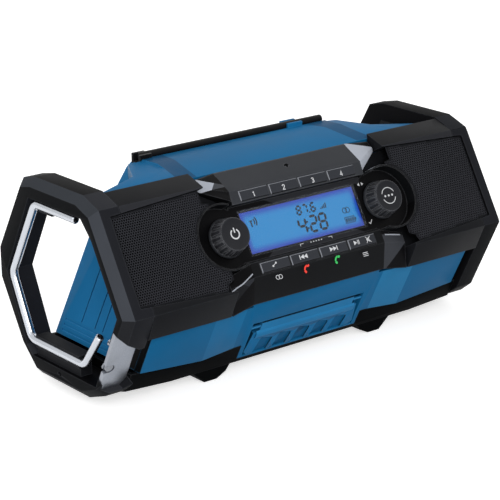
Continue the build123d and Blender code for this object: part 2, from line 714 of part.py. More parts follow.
# shoulders that run out behind the top bar of the frame
with BuildPart() as shoulders:
    for side in (-1, 1):
        with BuildSketch(Plane.XY.offset(SHOULDER_UNDER)):
            Polygon(*[(side * x, y) for x, y in SHOULDER_PLAN], align=None)
        extrude(amount=GUARD_TOP - SHOULDER_UNDER)
    with BuildSketch(Plane.YZ):
        Polygon(*HOUSING_SECTION, align=None)
    extrude(amount=REACH, both=True, mode=Mode.INTERSECT)
    with BuildSketch(Plane.XZ):
        Polygon(*SHOULDER_RISE, *[(-x, z) for x, z in reversed(SHOULDER_RISE)], align=None)
    extrude(amount=REACH, both=True, mode=Mode.INTERSECT)

# cheeks that carry the front panel out to its square ends
with BuildPart() as cheeks:
    for side in (-1, 1):
        with BuildSketch(Plane.YZ.offset(side * (END_FOOT_X - CHEEK_LONG))):
            Polygon(
                (panel_y(CHEEK_LOW, PANEL_PROUD), CHEEK_LOW),
                (panel_y(PANEL_TOP, PANEL_PROUD), PANEL_TOP),
                (panel_y(PANEL_TOP, -CHEEK_THICK), PANEL_TOP),
                (panel_y(CHEEK_LOW, -CHEEK_THICK), CHEEK_LOW),
                align=None,
            )
        extrude(amount=side * CHEEK_LONG)

with BuildPart() as housing_void:
    with BuildSketch(Plane.YZ):
        Polygon(*HOUSING_SECTION, align=None)
        offset(amount=-WALL, kind=Kind.INTERSECTION)
        Polygon(
            face_yz(2, PLATE_LEVEL),
            face_yz(77, PLATE_LEVEL),
            face_yz(77, BOARD_LEVEL - 5),
            face_yz(2, BOARD_LEVEL - 5),
            align=None,
        )
    extrude(amount=REACH, both=True)
    with BuildSketch(Plane.XZ):
        Polygon(*end_outline(WALL), align=None)
    extrude(amount=REACH, both=True, mode=Mode.INTERSECT)

with BuildPart() as main_housing:
    with BuildSketch(Plane.YZ):
        Polygon(*HOUSING_SECTION, align=None)
        Polygon(
            (panel_y(10.5, PANEL_PROUD), 10.5),
            (panel_y(PANEL_TOP, PANEL_PROUD), PANEL_TOP),
            (SILL_Y, PANEL_TOP),
            (panel_y(10.5, -WALL), 10.5),
            align=None,
        )
    extrude(amount=REACH, both=True)
    with BuildSketch(Plane.XZ):
        Polygon(*end_outline(0), align=None)
    extrude(amount=REACH, both=True, mode=Mode.INTERSECT)
    add(housing_void.part, mode=Mode.SUBTRACT)
    add(shoulders.part)
    add(cheeks.part)
    # crest of the front panel under the fascia
    with BuildSketch(Plane.YZ):
        Polygon(
            (panel_y(PANEL_TOP - WALL), PANEL_TOP - WALL),
            (panel_y(PANEL_CREST), PANEL_CREST),
            (panel_y(PANEL_CREST, -WALL), PANEL_CREST),
            (panel_y(PANEL_TOP - WALL, -WALL), PANEL_TOP - WALL),
            align=None,
        )
    extrude(amount=CREST_HALF, both=True)
    # block behind the ports, and the trough under the antenna
    with BuildSketch(panel_at(0, (PORT_TOP_V + PORT_LOW_V) / 2, -1)):
        Rectangle(2 * PORT_GAP_X, PORT_TOP_V - PORT_LOW_V + 6)
    extrude(amount=-PORT_BLOCK + 1)
    with BuildSketch(Plane.YZ.offset(-86)):
        with Locations((ANTENNA_Y, CHANNEL_FLOOR - 2.3)):
            Rectangle(2 * PIVOT_HALF + 5, 6.5)
    extrude(amount=172)
    # bosses for the rear cover and lugs for the base
    with BuildSketch(Plane.XZ.offset(-HOUSING_REAR + WALL)):
        for z in BOSS_HEIGHTS:
            with Locations((-BOSS_X - 1, z), (BOSS_X + 1, z)):
                Rectangle(16, 11)
    extrude(amount=11)
    with BuildSketch(Plane.XY.offset(LUG_LOW)):
        with Locations((-LUG_X, LUG_SPOTS[1]), (LUG_X, LUG_SPOTS[1])):
            Rectangle(14, 13)
        with Locations((-LUG_X, LUG_SPOTS[0] - 3), (LUG_X, LUG_SPOTS[0] - 3)):
            Rectangle(14, 18)
    extrude(amount=12)
    # jaws that hold the folded antenna
    with BuildSketch(Plane.YZ.offset(JAW_X - JAW_LONG / 2)):
        with Locations((ANTENNA_Y, (CHANNEL_FLOOR + JAW_TOP) / 2)):
            Rectangle(2 * PIVOT_HALF, JAW_TOP - CHANNEL_FLOOR)
    extrude(amount=JAW_LONG)
    # everything below the rim, and what sits outside the front panel, goes
    with BuildSketch(Plane.XZ):
        Polygon(*rim_outline(-REACH, 0), align=None)
    extrude(amount=REACH, both=True, mode=Mode.SUBTRACT)
    with BuildSketch(Plane(origin=(0, PANEL_Y, PANEL_Z), x_dir=(1, 0, 0), z_dir=panel_at(0, 0, 0).y_dir)):
        Polygon(
            (-REACH, -PANEL_PROUD),
            (-PROUD_FROM, -PANEL_PROUD),
            (-PROUD_TO, 0),
            (PROUD_TO, 0),
            (PROUD_FROM, -PANEL_PROUD),
            (REACH, -PANEL_PROUD),
            (REACH, -30),
            (-REACH, -30),
            align=None,
        )
    extrude(amount=55, both=True, mode=Mode.SUBTRACT)
    # ribs and stepped mouldings of the end walls
    for side in (-1, 1):
        with BuildSketch(end_at(side)):
            for y in RIB_SPOTS:
                with Locations((side * y, (RIB_LOW + RIB_HIGH) / 2)):
                    Rectangle(RIB_GROOVE, RIB_HIGH - RIB_LOW)
            for slope in STEP_SPOTS:
                with Locations((side * STEP_Y, slope)):
                    Rectangle(STEP_LONG, RIB_GROOVE)
        extrude(amount=-RIB_DEEP, mode=Mode.SUBTRACT)
    # openings for the loudspeaker enclosures and the rear cover
    for side in (-1, 1):
        with BuildSketch(face_at(side * SPEAKER_X, SPEAKER_U, ENCLOSURE_FRONT + 5)):
            Rectangle(ENCLOSURE_WIDTH + 2 * ENCLOSURE_GAP, ENCLOSURE_HEIGHT + 2 * ENCLOSURE_GAP)
        extrude(amount=-ENCLOSURE_DEPTH - 5 - ENCLOSURE_GAP, mode=Mode.SUBTRACT)
    with BuildSketch(Plane.XZ.offset(-HOUSING_REAR + WALL)):
        with Locations((0, (COVER_LOW + COVER_HIGH) / 2)):
            Rectangle(2 * COVER_HALF, COVER_HIGH - COVER_LOW)
    extrude(amount=-2 * WALL, mode=Mode.SUBTRACT)
    # antenna channel, pivot pocket and the mouth of the jaws
    with BuildSketch(Plane.YZ.offset(-REACH / 2)):
        with Locations((ANTENNA_Y, CHANNEL_FLOOR + 10)):
            Rectangle(2 * CHANNEL_HALF, 20)
    extrude(amount=REACH / 2 + JAW_X - JAW_LONG / 2, mode=Mode.SUBTRACT)
    with BuildSketch(Plane.YZ.offset(JAW_X + JAW_LONG / 2)):
        with Locations((ANTENNA_Y, CHANNEL_FLOOR + 10)):
            Rectangle(2 * CHANNEL_HALF, 20)
    extrude(amount=REACH / 2, mode=Mode.SUBTRACT)
    with BuildSketch(Plane.YZ.offset(JAW_X - JAW_LONG / 2)):
        with Locations((ANTENNA_Y, ANTENNA_Z)):
            Circle(ANTENNA_RADIUS + ROD_FIT)
        with Locations((ANTENNA_Y, ANTENNA_Z + 10)):
            Rectangle(2 * (ANTENNA_RADIUS + ROD_FIT), 20)
    extrude(amount=JAW_LONG, mode=Mode.SUBTRACT)
    with BuildSketch(Plane.XY.offset(PIVOT_FLOOR)):
        with Locations((PIVOT_X - 2, ANTENNA_Y)):
            Rectangle(PIVOT_LONG + 4, 2 * PIVOT_HALF + 0.4)
    extrude(amount=20, mode=Mode.SUBTRACT)
    # pocket of the flap, its hub groove and the pin bores
    with BuildSketch(panel_at(0, (PORT_TOP_V + PORT_LOW_V) / 2, 1)):
        Rectangle(2 * PORT_HALF, PORT_TOP_V - PORT_LOW_V)
    extrude(amount=-FLAP_POCKET - 1, mode=Mode.SUBTRACT)
    with BuildSketch(panel_at(0, (PORT_TOP_V + HUB_LOW_V) / 2, 1)):
        Rectangle(2 * PORT_HALF, PORT_TOP_V - HUB_LOW_V)
    extrude(amount=-HUB_POCKET - 1, mode=Mode.SUBTRACT)
    with BuildSketch(Plane.YZ):
        with Locations(panel_yz(FLAP_PIN_V, FLAP_PIN_W)):
            Circle(FLAP_PIN_RADIUS + PIN_FIT)
    extrude(amount=PORT_GAP_X - 0.6, both=True, mode=Mode.SUBTRACT)
    # jack holes and screw holes
    with BuildSketch(panel_at(0, JACK_V, 0)):
        with Locations((AUX_X, 0)):
            Circle(AUX_RADIUS)
        with Locations((DC_X, 0)):
            Circle(DC_RADIUS)
    extrude(amount=-PORT_BLOCK - 5, mode=Mode.SUBTRACT)
    with BuildSketch(Plane.XZ.offset(-HOUSING_REAR)):
        for z in BOSS_HEIGHTS:
            with Locations((-BOSS_X, z), (BOSS_X, z)):
                Circle(SCREW_PILOT)
    extrude(amount=13, mode=Mode.SUBTRACT)
    with BuildSketch(Plane.XY.offset(LUG_LOW)):
        for y in LUG_SPOTS:
            with Locations((-LUG_X, y), (LUG_X, y)):
                Circle(SCREW_PILOT)
    extrude(amount=10, mode=Mode.SUBTRACT)
save(main_housing, "main_housing")

# ---------------------------------------------------------------- base tray and feet
BASE_SECTION = [
    (panel_y(BASE_BOTTOM), BASE_BOTTOM),
    (panel_y(40), 40),
    (HOUSING_REAR, 40),
    REAR_LOW,
    (REAR_TOE_Y, BASE_BOTTOM),
]
EDGE_FROM = 116.0  # the base's lower front edge is cut back from here to its ends
EDGE_RISE = 3.2
EDGE_BACK = 9.0
EDGE_START = Vector(EDGE_FROM, panel_y(BASE_BOTTOM), BASE_BOTTOM)
EDGE_UP = Vector(FRAME_X, panel_y(BASE_BOTTOM + EDGE_RISE), BASE_BOTTOM + EDGE_RISE) - EDGE_START
EDGE_IN = Vector(FRAME_X, panel_y(BASE_BOTTOM) + EDGE_BACK, BASE_BOTTOM) - EDGE_START
EDGE_OUT = EDGE_IN.cross(EDGE_UP)
TAB_SPOTS = (-10.0, 24.0)  # guard tabs, along the base's end walls
TAB_LONG = 12.0
TAB_Z = 16.0
TAB_HIGH = 5.0
TAB_REACH = 9.0
HEAD_RADIUS = 3.3
HEAD_HIGH = 2.2
SHANK_RADIUS = 1.4

with BuildPart() as bottom_cover:
    with BuildSketch(Plane.YZ):
        Polygon(*BASE_SECTION, align=None)
    extrude(amount=FRAME_X, both=True)
    with BuildSketch(Plane.YZ):
        Polygon(*BASE_SECTION, align=None)
        offset(amount=-WALL, kind=Kind.INTERSECTION)
    extrude(amount=FRAME_X - WALL, both=True, mode=Mode.SUBTRACT)
    for side in (-1, 1):
        start = (side * EDGE_FROM, EDGE_START.Y, EDGE_START.Z)
        with BuildSketch(Plane(origin=start, z_dir=(side * EDGE_OUT.X, EDGE_OUT.Y, EDGE_OUT.Z))):
            Rectangle(REACH, REACH)
        extrude(amount=REACH / 10, mode=Mode.SUBTRACT)
    with BuildSketch(Plane.XY.offset(BASE_BOTTOM)):
        for y in LUG_SPOTS:
            with Locations((-LUG_X, y), (LUG_X, y)):
                Circle(4.5)
    extrude(amount=LUG_LOW - SEAM - BASE_BOTTOM)
    with BuildSketch(Plane.XZ):
        Polygon(*rim_outline(REACH, SEAM), align=None)
    extrude(amount=REACH, both=True, mode=Mode.SUBTRACT)
    with BuildSketch(Plane.XY.offset(BASE_BOTTOM)):
        for y in LUG_SPOTS:
            with Locations((-LUG_X, y), (LUG_X, y)):
                Circle(SHANK_RADIUS + PIN_FIT)
    extrude(amount=LUG_LOW, mode=Mode.SUBTRACT)
    with BuildSketch(Plane.XY.offset(BASE_BOTTOM)):
        for y in LUG_SPOTS:
            with Locations((-LUG_X, y), (LUG_X, y)):
                Circle(HEAD_RADIUS + 0.2)
    extrude(amount=HEAD_HIGH + 0.3, mode=Mode.SUBTRACT)
    for y in TAB_SPOTS:
        with BuildSketch(Plane.YZ):
            with Locations((y, TAB_Z)):
                Rectangle(TAB_LONG + 0.6, TAB_HIGH + 0.6)
        extrude(amount=REACH, both=True, mode=Mode.SUBTRACT)
save(bottom_cover, "bottom_cover")

with BuildPart() as base_screws:
    for y in LUG_SPOTS:
        for x in (-LUG_X, LUG_X):
            with BuildSketch(Plane.XY.offset(BASE_BOTTOM + 0.2)):
                with Locations((x, y)):
                    Circle(HEAD_RADIUS)
                    RegularPolygon(1.6, 6, mode=Mode.SUBTRACT)
            extrude(amount=HEAD_HIGH - 0.7)
            with BuildSketch(Plane.XY.offset(BASE_BOTTOM + HEAD_HIGH - 0.5)):
                with Locations((x, y)):
                    Circle(HEAD_RADIUS)
            extrude(amount=0.8)
            with BuildSketch(Plane.XY.offset(BASE_BOTTOM + HEAD_HIGH)):
                with Locations((x, y)):
                    Circle(SHANK_RADIUS)
            extrude(amount=LUG_LOW + 8 - BASE_BOTTOM - HEAD_HIGH)
save(base_screws, "base_screws")

FOOT_FRONT = -42.0
FOOT_REAR = 34.0
FOOT_SECTION = [(61.2, BASE_BOTTOM), (65.3, 4.2), (73.7, 0), (85.1, 0), (96, BASE_BOTTOM)]
for side, name in ((-1, "foot_left"), (1, "foot_right")):
    with BuildPart() as foot:
        with BuildSketch(Plane.XZ.offset(-FOOT_REAR)):
            Polygon(*[(side * x, z) for x, z in FOOT_SECTION], align=None)
        extrude(amount=FOOT_REAR - FOOT_FRONT)
        with BuildSketch(Plane.YZ):
            Polygon((FOOT_REAR + 1, -1), (FOOT_REAR + 1, BASE_BOTTOM), (FOOT_REAR - 4, -1), align=None)
        extrude(amount=REACH, both=True, mode=Mode.SUBTRACT)
    save(foot, name)

# ---------------------------------------------------------------- guards, with their tabs
for side, name in ((-1, "guard_left"), (1, "guard_right")):
    with BuildPart() as guard:
        add(guards[side])
        for y in TAB_SPOTS:
            with BuildSketch(Plane.YZ.offset(side * (GUARD_INNER_X + 2))):
                with Locations((y, TAB_Z)):
                    Rectangle(TAB_LONG, TAB_HIGH)
            extrude(amount=-side * (TAB_REACH + 2))
        if side < 0:
            with BuildSketch(Plane.YZ.offset(-HALF)):
                with Locations((5, BAR_TOP - 4)):
                    SlotOverall(5, 2.6)
            extrude(amount=5, mode=Mode.SUBTRACT)
    save(guard, name)

# ---------------------------------------------------------------- rear cover with the battery bay
BAY_HALF = 40.0
BAY_LOW = 41.0
BAY_HIGH = 110.0
BAY_BACK = HOUSING_REAR - 30.0
BAY_WALL = 2.5
RAIL_INNER = 27.0
RAIL_OUTER = 33.0
RAIL_LIP = 3.0
RAIL_LOW = 60.0
RAIL_TALL = 38.0
RAIL_REACH = 13.0
BOARD_Y = BAY_BACK - 12.0
STANDOFFS = [(-30.0, 48.0), (30.0, 48.0), (-30.0, 90.0), (30.0, 90.0)]

with BuildPart() as rear_cover:
    with BuildSketch(Plane.XZ.offset(-HOUSING_REAR)):
        with Locations((0, (COVER_LOW + COVER_HIGH) / 2)):
            Rectangle(2 * (COVER_HALF - SEAM), COVER_HIGH - COVER_LOW - 2 * SEAM)
    extrude(amount=WALL - SEAM)
    with BuildSketch(Plane.XZ.offset(-HOUSING_REAR + 1)):
        with Locations((0, (BAY_LOW + BAY_HIGH) / 2)):
            Rectangle(2 * (BAY_HALF + BAY_WALL), BAY_HIGH - BAY_LOW + 2 * BAY_WALL)
    extrude(amount=HOUSING_REAR - 1 - BAY_BACK + BAY_WALL)
    with BuildSketch(Plane.XZ.offset(-HOUSING_REAR)):
        with Locations((0, (BAY_LOW + BAY_HIGH) / 2)):
            Rectangle(2 * BAY_HALF, BAY_HIGH - BAY_LOW)
    extrude(amount=HOUSING_REAR - BAY_BACK, mode=Mode.SUBTRACT)
    with BuildSketch(Plane.XY.offset(RAIL_LOW)):
        for side in (-1, 1):
            Polygon(
                (side * RAIL_OUTER, BAY_BACK - 1),
                (side * RAIL_OUTER, BAY_BACK + RAIL_REACH),
                (side * RAIL_INNER, BAY_BACK + RAIL_REACH),
                (side * RAIL_INNER, BAY_BACK + RAIL_REACH - RAIL_LIP),
                (side * (RAIL_OUTER - RAIL_LIP), BAY_BACK + RAIL_REACH - RAIL_LIP),
                (side * (RAIL_OUTER - RAIL_LIP), BAY_BACK - 1),
                align=None,
            )
    extrude(amount=RAIL_TALL)
    with BuildSketch(Plane.XZ.offset(-BOARD_Y - BOARD_THICK)):
        with Locations(*STANDOFFS):
            Circle(3)
    extrude(amount=BOARD_Y + BOARD_THICK - BAY_BACK + 1)
    with BuildSketch(Plane.XZ.offset(-HOUSING_REAR)):
        for z in BOSS_HEIGHTS:
            with Locations((-BOSS_X, z), (BOSS_X, z)):
                Circle(SHANK_RADIUS + 0.2)
    extrude(amount=WALL, mode=Mode.SUBTRACT)
save(rear_cover, "rear_cover")

with BuildPart() as cover_screws:
    for z in BOSS_HEIGHTS:
        for x in (-BOSS_X, BOSS_X):
            with BuildSketch(Plane.XZ.offset(-HOUSING_REAR - HEAD_HIGH)):
                with Locations((x, z)):
                    Circle(HEAD_RADIUS)
                    RegularPolygon(1.6, 6, mode=Mode.SUBTRACT)
            extrude(amount=1.3)
            with BuildSketch(Plane.XZ.offset(-HOUSING_REAR - HEAD_HIGH + 1.3)):
                with Locations((x, z)):
                    Circle(HEAD_RADIUS)
            extrude(amount=HEAD_HIGH - 1.3)
            with BuildSketch(Plane.XZ.offset(-HOUSING_REAR)):
                with Locations((x, z)):
                    Circle(SHANK_RADIUS)
            extrude(amount=11)
save(cover_screws, "cover_screws")

TERMINAL_LOW = 92.0
BLADE_PITCH = 8.0
with BuildPart() as terminal_block:
    with BuildSketch(Plane.XZ.offset(-BAY_BACK)):
        with Locations((0, TERMINAL_LOW + 6)):
            Rectangle(30, 12)
    extrude(amount=-8)
save(terminal_block, "terminal_block")

with BuildPart() as battery_contacts:
    with BuildSketch(Plane.XY.offset(TERMINAL_LOW)):
        with Locations((-BLADE_PITCH, BAY_BACK + 4), (0, BAY_BACK + 4), (BLADE_PITCH, BAY_BACK + 4)):
            Rectangle(0.8, 5)
    extrude(amount=-11)
save(battery_contacts, "battery_contacts")

MAIN_BOARD_Z = 68.0
MAIN_BOARD_LONG = 130.0
MAIN_BOARD_TALL = 60.0
with BuildPart() as main_board:
    with BuildSketch(Plane.XZ.offset(-BOARD_Y)):
        with Locations((0, MAIN_BOARD_Z)):
            Rectangle(MAIN_BOARD_LONG, MAIN_BOARD_TALL)
    extrude(amount=-BOARD_THICK)
save(main_board, "main_board")

# ---------------------------------------------------------------- ports and their flap
AUX_BORE = 1.8
AUX_LONG = 14.0
DC_BORE = 2.9
DC_PIN = 1.0
DC_LONG = 10.0
JACK_LEVEL = -FLAP_POCKET - 0.6  # front of the jacks, behind the pocket's floor
with BuildPart() as aux_jack:
    with BuildSketch(panel_at(AUX_X, JACK_V, JACK_LEVEL)):
        Circle(AUX_RADIUS - PIN_FIT)
    extrude(amount=-AUX_LONG - 2)
    with BuildSketch(panel_at(AUX_X, JACK_V, -PORT_BLOCK - 0.1)):
        Rectangle(11, 9)
    extrude(amount=JACK_LEVEL - AUX_LONG - 2 + PORT_BLOCK + 0.1)
    with BuildSketch(panel_at(AUX_X, JACK_V, JACK_LEVEL)):
        Circle(AUX_BORE)
    extrude(amount=-AUX_LONG, mode=Mode.SUBTRACT)
save(aux_jack, "aux_jack")

with BuildPart() as dc_inlet:
    with BuildSketch(panel_at(DC_X, JACK_V, JACK_LEVEL)):
        Circle(DC_RADIUS - PIN_FIT)
    extrude(amount=-DC_LONG - 2)
    with BuildSketch(panel_at(DC_X, JACK_V, -PORT_BLOCK - 0.1)):
        Rectangle(12, 10)
    extrude(amount=JACK_LEVEL - DC_LONG - 2 + PORT_BLOCK + 0.1)
    with BuildSketch(panel_at(DC_X, JACK_V, JACK_LEVEL)):
        Circle(DC_BORE)
    extrude(amount=-DC_LONG, mode=Mode.SUBTRACT)
save(dc_inlet, "dc_inlet")

with BuildPart() as dc_pin:
    with BuildSketch(panel_at(DC_X, JACK_V, JACK_LEVEL - 1)):
        Circle(DC_PIN)
    extrude(amount=-DC_LONG + 1.05)
save(dc_pin, "dc_pin")

FLAP_NECK = 44.3
FLAP_WAIST_V = -26.4
FLAP_TOP_V = -17.6
FLAP_LOW_V = -49.0
FLAP_LOW_X = 52.6
FLAP_THICK = 3.6
BAND_HIGH_V = -27.6  # bulged band across the flap
BAND_LOW_V = -31.4
BAND_PROUD = 1.0
SCALLOPS = 5  # finger scallops, open towards the lower edge
SCALLOP_PITCH = 18.0
SCALLOP_V = -44.2
SCALLOP_WIDE = 12.5
SCALLOP_TALL = 17.0
SCALLOP_TILT = 14.0
SCALLOP_DEEP = 1.2
with BuildPart() as port_flap:
    with BuildSketch(panel_at(0, 0, 0)):
        Polygon(
            (-FLAP_NECK, FLAP_TOP_V),
            (FLAP_NECK, FLAP_TOP_V),
            (FLAP_NECK, FLAP_WAIST_V),
            (FLAP_LOW_X - 3, FLAP_WAIST_V - 1),
            (FLAP_LOW_X, FLAP_LOW_V + 3),
            (FLAP_LOW_X - 3, FLAP_LOW_V),
            (-FLAP_LOW_X + 3, FLAP_LOW_V),
            (-FLAP_LOW_X, FLAP_LOW_V + 3),
            (-FLAP_LOW_X + 3, FLAP_WAIST_V - 1),
            (-FLAP_NECK, FLAP_WAIST_V),
            align=None,
        )
    extrude(amount=-FLAP_THICK)
    top_front = port_flap.edges().filter_by(Axis.X).sort_by(Axis.Z)[-2:]
    chamfer(top_front, 1.3)
    with BuildSketch(Plane.YZ):
        Polygon(
            panel_yz(BAND_HIGH_V + 1.6, -0.2),
            panel_yz(BAND_HIGH_V, BAND_PROUD),
            panel_yz(BAND_LOW_V, BAND_PROUD),
            panel_yz(BAND_LOW_V - 2.6, -0.2),
            align=None,
        )
    extrude(amount=FLAP_NECK + 3, both=True)
    with BuildSketch(panel_at(0, SCALLOP_V, 0)):
        with Locations(*[(SCALLOP_PITCH * (i - 2), 0) for i in range(SCALLOPS)]):
            RectangleRounded(SCALLOP_WIDE, SCALLOP_TALL, 2.5, rotation=-SCALLOP_TILT)
    extrude(amount=-SCALLOP_DEEP, mode=Mode.SUBTRACT)
    with BuildSketch(Plane.YZ):
        with Locations(panel_yz(FLAP_PIN_V, FLAP_PIN_W)):
            Circle(FLAP_PIN_RADIUS)
    extrude(amount=PORT_GAP_X - 1, both=True)
save(port_flap, "port_flap")

# ---------------------------------------------------------------- steel plate with its screw and pin
NOTCH_T = 52.0
with BuildPart() as hook_plate:
    with BuildSketch(under_at(0, 0, PLATE_OFFSET)):
        Polygon(*plate_outline(0), align=None)
        with Locations((-HALF + 2, -NOTCH_T)):
            SlotOverall(12, 7, mode=Mode.SUBTRACT)
    extrude(amount=-STEEL_THICK)
save(hook_plate, "hook_plate")

with BuildPart() as plate_screw:
    with BuildSketch(under_at(-HALF + 4.2, NOTCH_T, PLATE_OFFSET - 0.6)):
        Circle(3.1)
    extrude(amount=-STEEL_THICK)
    with BuildSketch(under_at(-HALF + 4.2, NOTCH_T, PLATE_OFFSET - STEEL_THICK - 0.1)):
        Circle(3.9)
    extrude(amount=-1.4)
save(plate_screw, "plate_screw")

# ---------------------------------------------------------------- carrying hook
HOOK_TOP_Z = OPENING_TOP - 3.8
HOOK_PATH = [
    (FRONT + 63.2, HOOK_TOP_Z),
    (REAR - 52.5, HOOK_TOP_Z),
    (REAR - 18, VERTEX_HEIGHT - 2.7),
    (REAR - 39.8, HOOK_AXIS_Z),
    (FRONT + 59.5, HOOK_AXIS_Z),
    (FRONT + 39, VERTEX_HEIGHT - 21.3),
]
with BuildPart() as carry_hook:
    with BuildLine(Plane.YZ.offset(HOOK_X)) as hook_line:
        FilletPolyline(*HOOK_PATH, radius=HOOK_BEND)
    with BuildSketch(Plane(origin=(HOOK_X, HOOK_PATH[0][0], HOOK_PATH[0][1]), x_dir=(1, 0, 0), z_dir=(0, 1, 0))):
        Circle(HOOK_RADIUS)
    sweep()
    chamfer(carry_hook.faces().filter_by(GeomType.PLANE).edges(), 0.8)
save(carry_hook, "carry_hook")

CRADLE_WEB_X = -(HALF - 12.5)
CRADLE_LIP = 1.3
with BuildPart() as hook_cradle:
    with BuildSketch(Plane.XZ.offset(-CRADLE_REAR)):
        with Locations((HOOK_X, HOOK_AXIS_Z)):
            Circle(HOOK_RADIUS + 1.8)
        Polygon(
            (HOOK_X, BAR_TOP),
            (CRADLE_WEB_X, BAR_TOP),
            (CRADLE_WEB_X, HOOK_AXIS_Z + HOOK_RADIUS + 1.8),
            (HOOK_X, HOOK_AXIS_Z + HOOK_RADIUS + 1.8),
            align=None,
        )
        with Locations((HOOK_X, HOOK_AXIS_Z)):
            Circle(HOOK_RADIUS + PIN_FIT, mode=Mode.SUBTRACT)
        with Locations((HOOK_X - CRADLE_LIP - 5, HOOK_AXIS_Z)):
            Rectangle(10, 20, mode=Mode.SUBTRACT)
    extrude(amount=CRADLE_REAR - CRADLE_FRONT)
save(hook_cradle, "hook_cradle")

CLIP_FRONT = REAR - 74.0
CLIP_REAR = REAR - 56.0
with BuildPart() as hook_clip:
    with BuildSketch(Plane.XZ.offset(-CLIP_REAR)):
        Polygon(
            (HOOK_X, OPENING_TOP),
            (CRADLE_WEB_X, OPENING_TOP),
            (CRADLE_WEB_X, OPENING_TOP - 7),
            (CRADLE_WEB_X - 3, HOOK_TOP_Z - HOOK_RADIUS - 2),
            (HOOK_X, HOOK_TOP_Z - HOOK_RADIUS - 2),
            align=None,
        )
        with Locations((HOOK_X, HOOK_TOP_Z)):
            Circle(HOOK_RADIUS + 0.3, mode=Mode.SUBTRACT)
    extrude(amount=CLIP_REAR - CLIP_FRONT)
save(hook_clip, "hook_clip")

STOP_X = -(HALF - 9.0)
STOP_Z = VERTEX_HEIGHT - 26.3
STOP_FRONT = FRONT + 23.0
with BuildPart() as stop_pin:
    with BuildSketch(Plane.XZ.offset(-STOP_FRONT)):
        with Locations((STOP_X, STOP_Z)):
            Circle(2.4)
    extrude(amount=-13)
    with BuildSketch(under_at(0, 0, PLATE_OFFSET - STEEL_THICK - 0.05)):
        Rectangle(2 * REACH, REACH)
    extrude(amount=REACH / 10, mode=Mode.SUBTRACT)
save(stop_pin, "stop_pin")

# ---------------------------------------------------------------- antenna
with BuildPart() as antenna_pivot:
    with BuildSketch(Plane.XY.offset(PIVOT_FLOOR)):
        with Locations((PIVOT_X, ANTENNA_Y)):
            Rectangle(PIVOT_LONG - 0.4, 2 * PIVOT_HALF)
    extrude(amount=ANTENNA_Z + 2.4 - PIVOT_FLOOR)
    with BuildSketch(Plane.XY.offset(ANTENNA_Z - ANTENNA_RADIUS - 0.5)):
        with Locations((PIVOT_X, ANTENNA_Y)):
            Rectangle(PIVOT_LONG, 2 * (ANTENNA_RADIUS + 0.2))
    extrude(amount=20, mode=Mode.SUBTRACT)
    with BuildSketch(Plane.XZ.offset(-ANTENNA_Y - PIVOT_HALF)):
        with Locations((PIVOT_X, ANTENNA_Z)):
            Circle(PIVOT_PIN_RADIUS)
    extrude(amount=2 * PIVOT_HALF)
save(antenna_pivot, "antenna_pivot")

with BuildPart() as antenna_rod:
    with BuildSketch(Plane.YZ.offset(PIVOT_X)):
        with Locations((ANTENNA_Y, ANTENNA_Z)):
            Circle(ANTENNA_RADIUS)
    extrude(amount=ANTENNA_RIGHT - PIVOT_X)
    tip = antenna_rod.faces().sort_by(Axis.X)[-1]
    fillet(tip.edges(), 1.2)
    with Locations((PIVOT_X, ANTENNA_Y, ANTENNA_Z)):
        Sphere(ANTENNA_RADIUS)
    with BuildSketch(Plane.XZ.offset(-ANTENNA_Y - PIVOT_HALF)):
        with Locations((PIVOT_X, ANTENNA_Z)):
            Circle(PIVOT_PIN_RADIUS + PIN_FIT)
    extrude(amount=2 * PIVOT_HALF, mode=Mode.SUBTRACT)
save(antenna_rod, "antenna_rod")
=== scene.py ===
"""Dressing of the jobsite radio: finishes, perforated grilles, fluted knobs, display and printed marks."""

import json
import logging
import math
from collections.abc import Callable, Iterable
from dataclasses import dataclass
from enum import Enum

import bmesh
import bpy
from mathutils import Matrix, Vector
from mathutils.bvhtree import BVHTree

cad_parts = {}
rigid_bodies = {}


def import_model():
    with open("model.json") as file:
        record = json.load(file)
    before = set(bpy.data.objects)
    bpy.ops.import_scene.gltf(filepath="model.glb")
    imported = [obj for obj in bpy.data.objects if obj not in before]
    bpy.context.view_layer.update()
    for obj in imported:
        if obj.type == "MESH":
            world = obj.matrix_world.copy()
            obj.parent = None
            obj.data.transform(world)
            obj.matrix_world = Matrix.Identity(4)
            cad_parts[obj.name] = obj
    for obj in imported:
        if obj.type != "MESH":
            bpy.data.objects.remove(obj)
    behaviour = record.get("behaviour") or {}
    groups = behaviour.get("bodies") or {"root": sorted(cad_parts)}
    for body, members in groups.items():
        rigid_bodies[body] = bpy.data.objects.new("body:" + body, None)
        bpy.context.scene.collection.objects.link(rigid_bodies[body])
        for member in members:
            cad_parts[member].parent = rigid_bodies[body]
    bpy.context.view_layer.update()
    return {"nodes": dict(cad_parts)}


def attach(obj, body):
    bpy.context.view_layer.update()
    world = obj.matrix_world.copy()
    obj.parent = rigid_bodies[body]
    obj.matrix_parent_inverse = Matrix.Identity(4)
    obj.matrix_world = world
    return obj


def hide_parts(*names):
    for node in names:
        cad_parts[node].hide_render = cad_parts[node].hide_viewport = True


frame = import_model()
LOG = logging.getLogger("radio")
MM = 0.001
ZONE = "zone"

Point = tuple[float, float]
Line = tuple[Point, Point]
Span = tuple[float, float]
Colour = tuple[float, float, float, float]
Socket = bpy.types.NodeSocket
Outputs = bpy.types.NodeOutputs
Inputs = dict[str | int, object]
Mesh = bpy.types.Mesh
BMesh = bmesh.types.BMesh
Verts = list[bmesh.types.BMVert]
Cuts = Iterable[tuple[Vector, Vector]]


# ------------------------------------------------------------------ the radio's own planes
class Side(Enum):
    """End of the radio, as the sign of X."""

    LEFT = -1
    RIGHT = 1

    @property
    def tag(self) -> str:
        """Name part used by the parts on this end."""
        return self.name.lower()


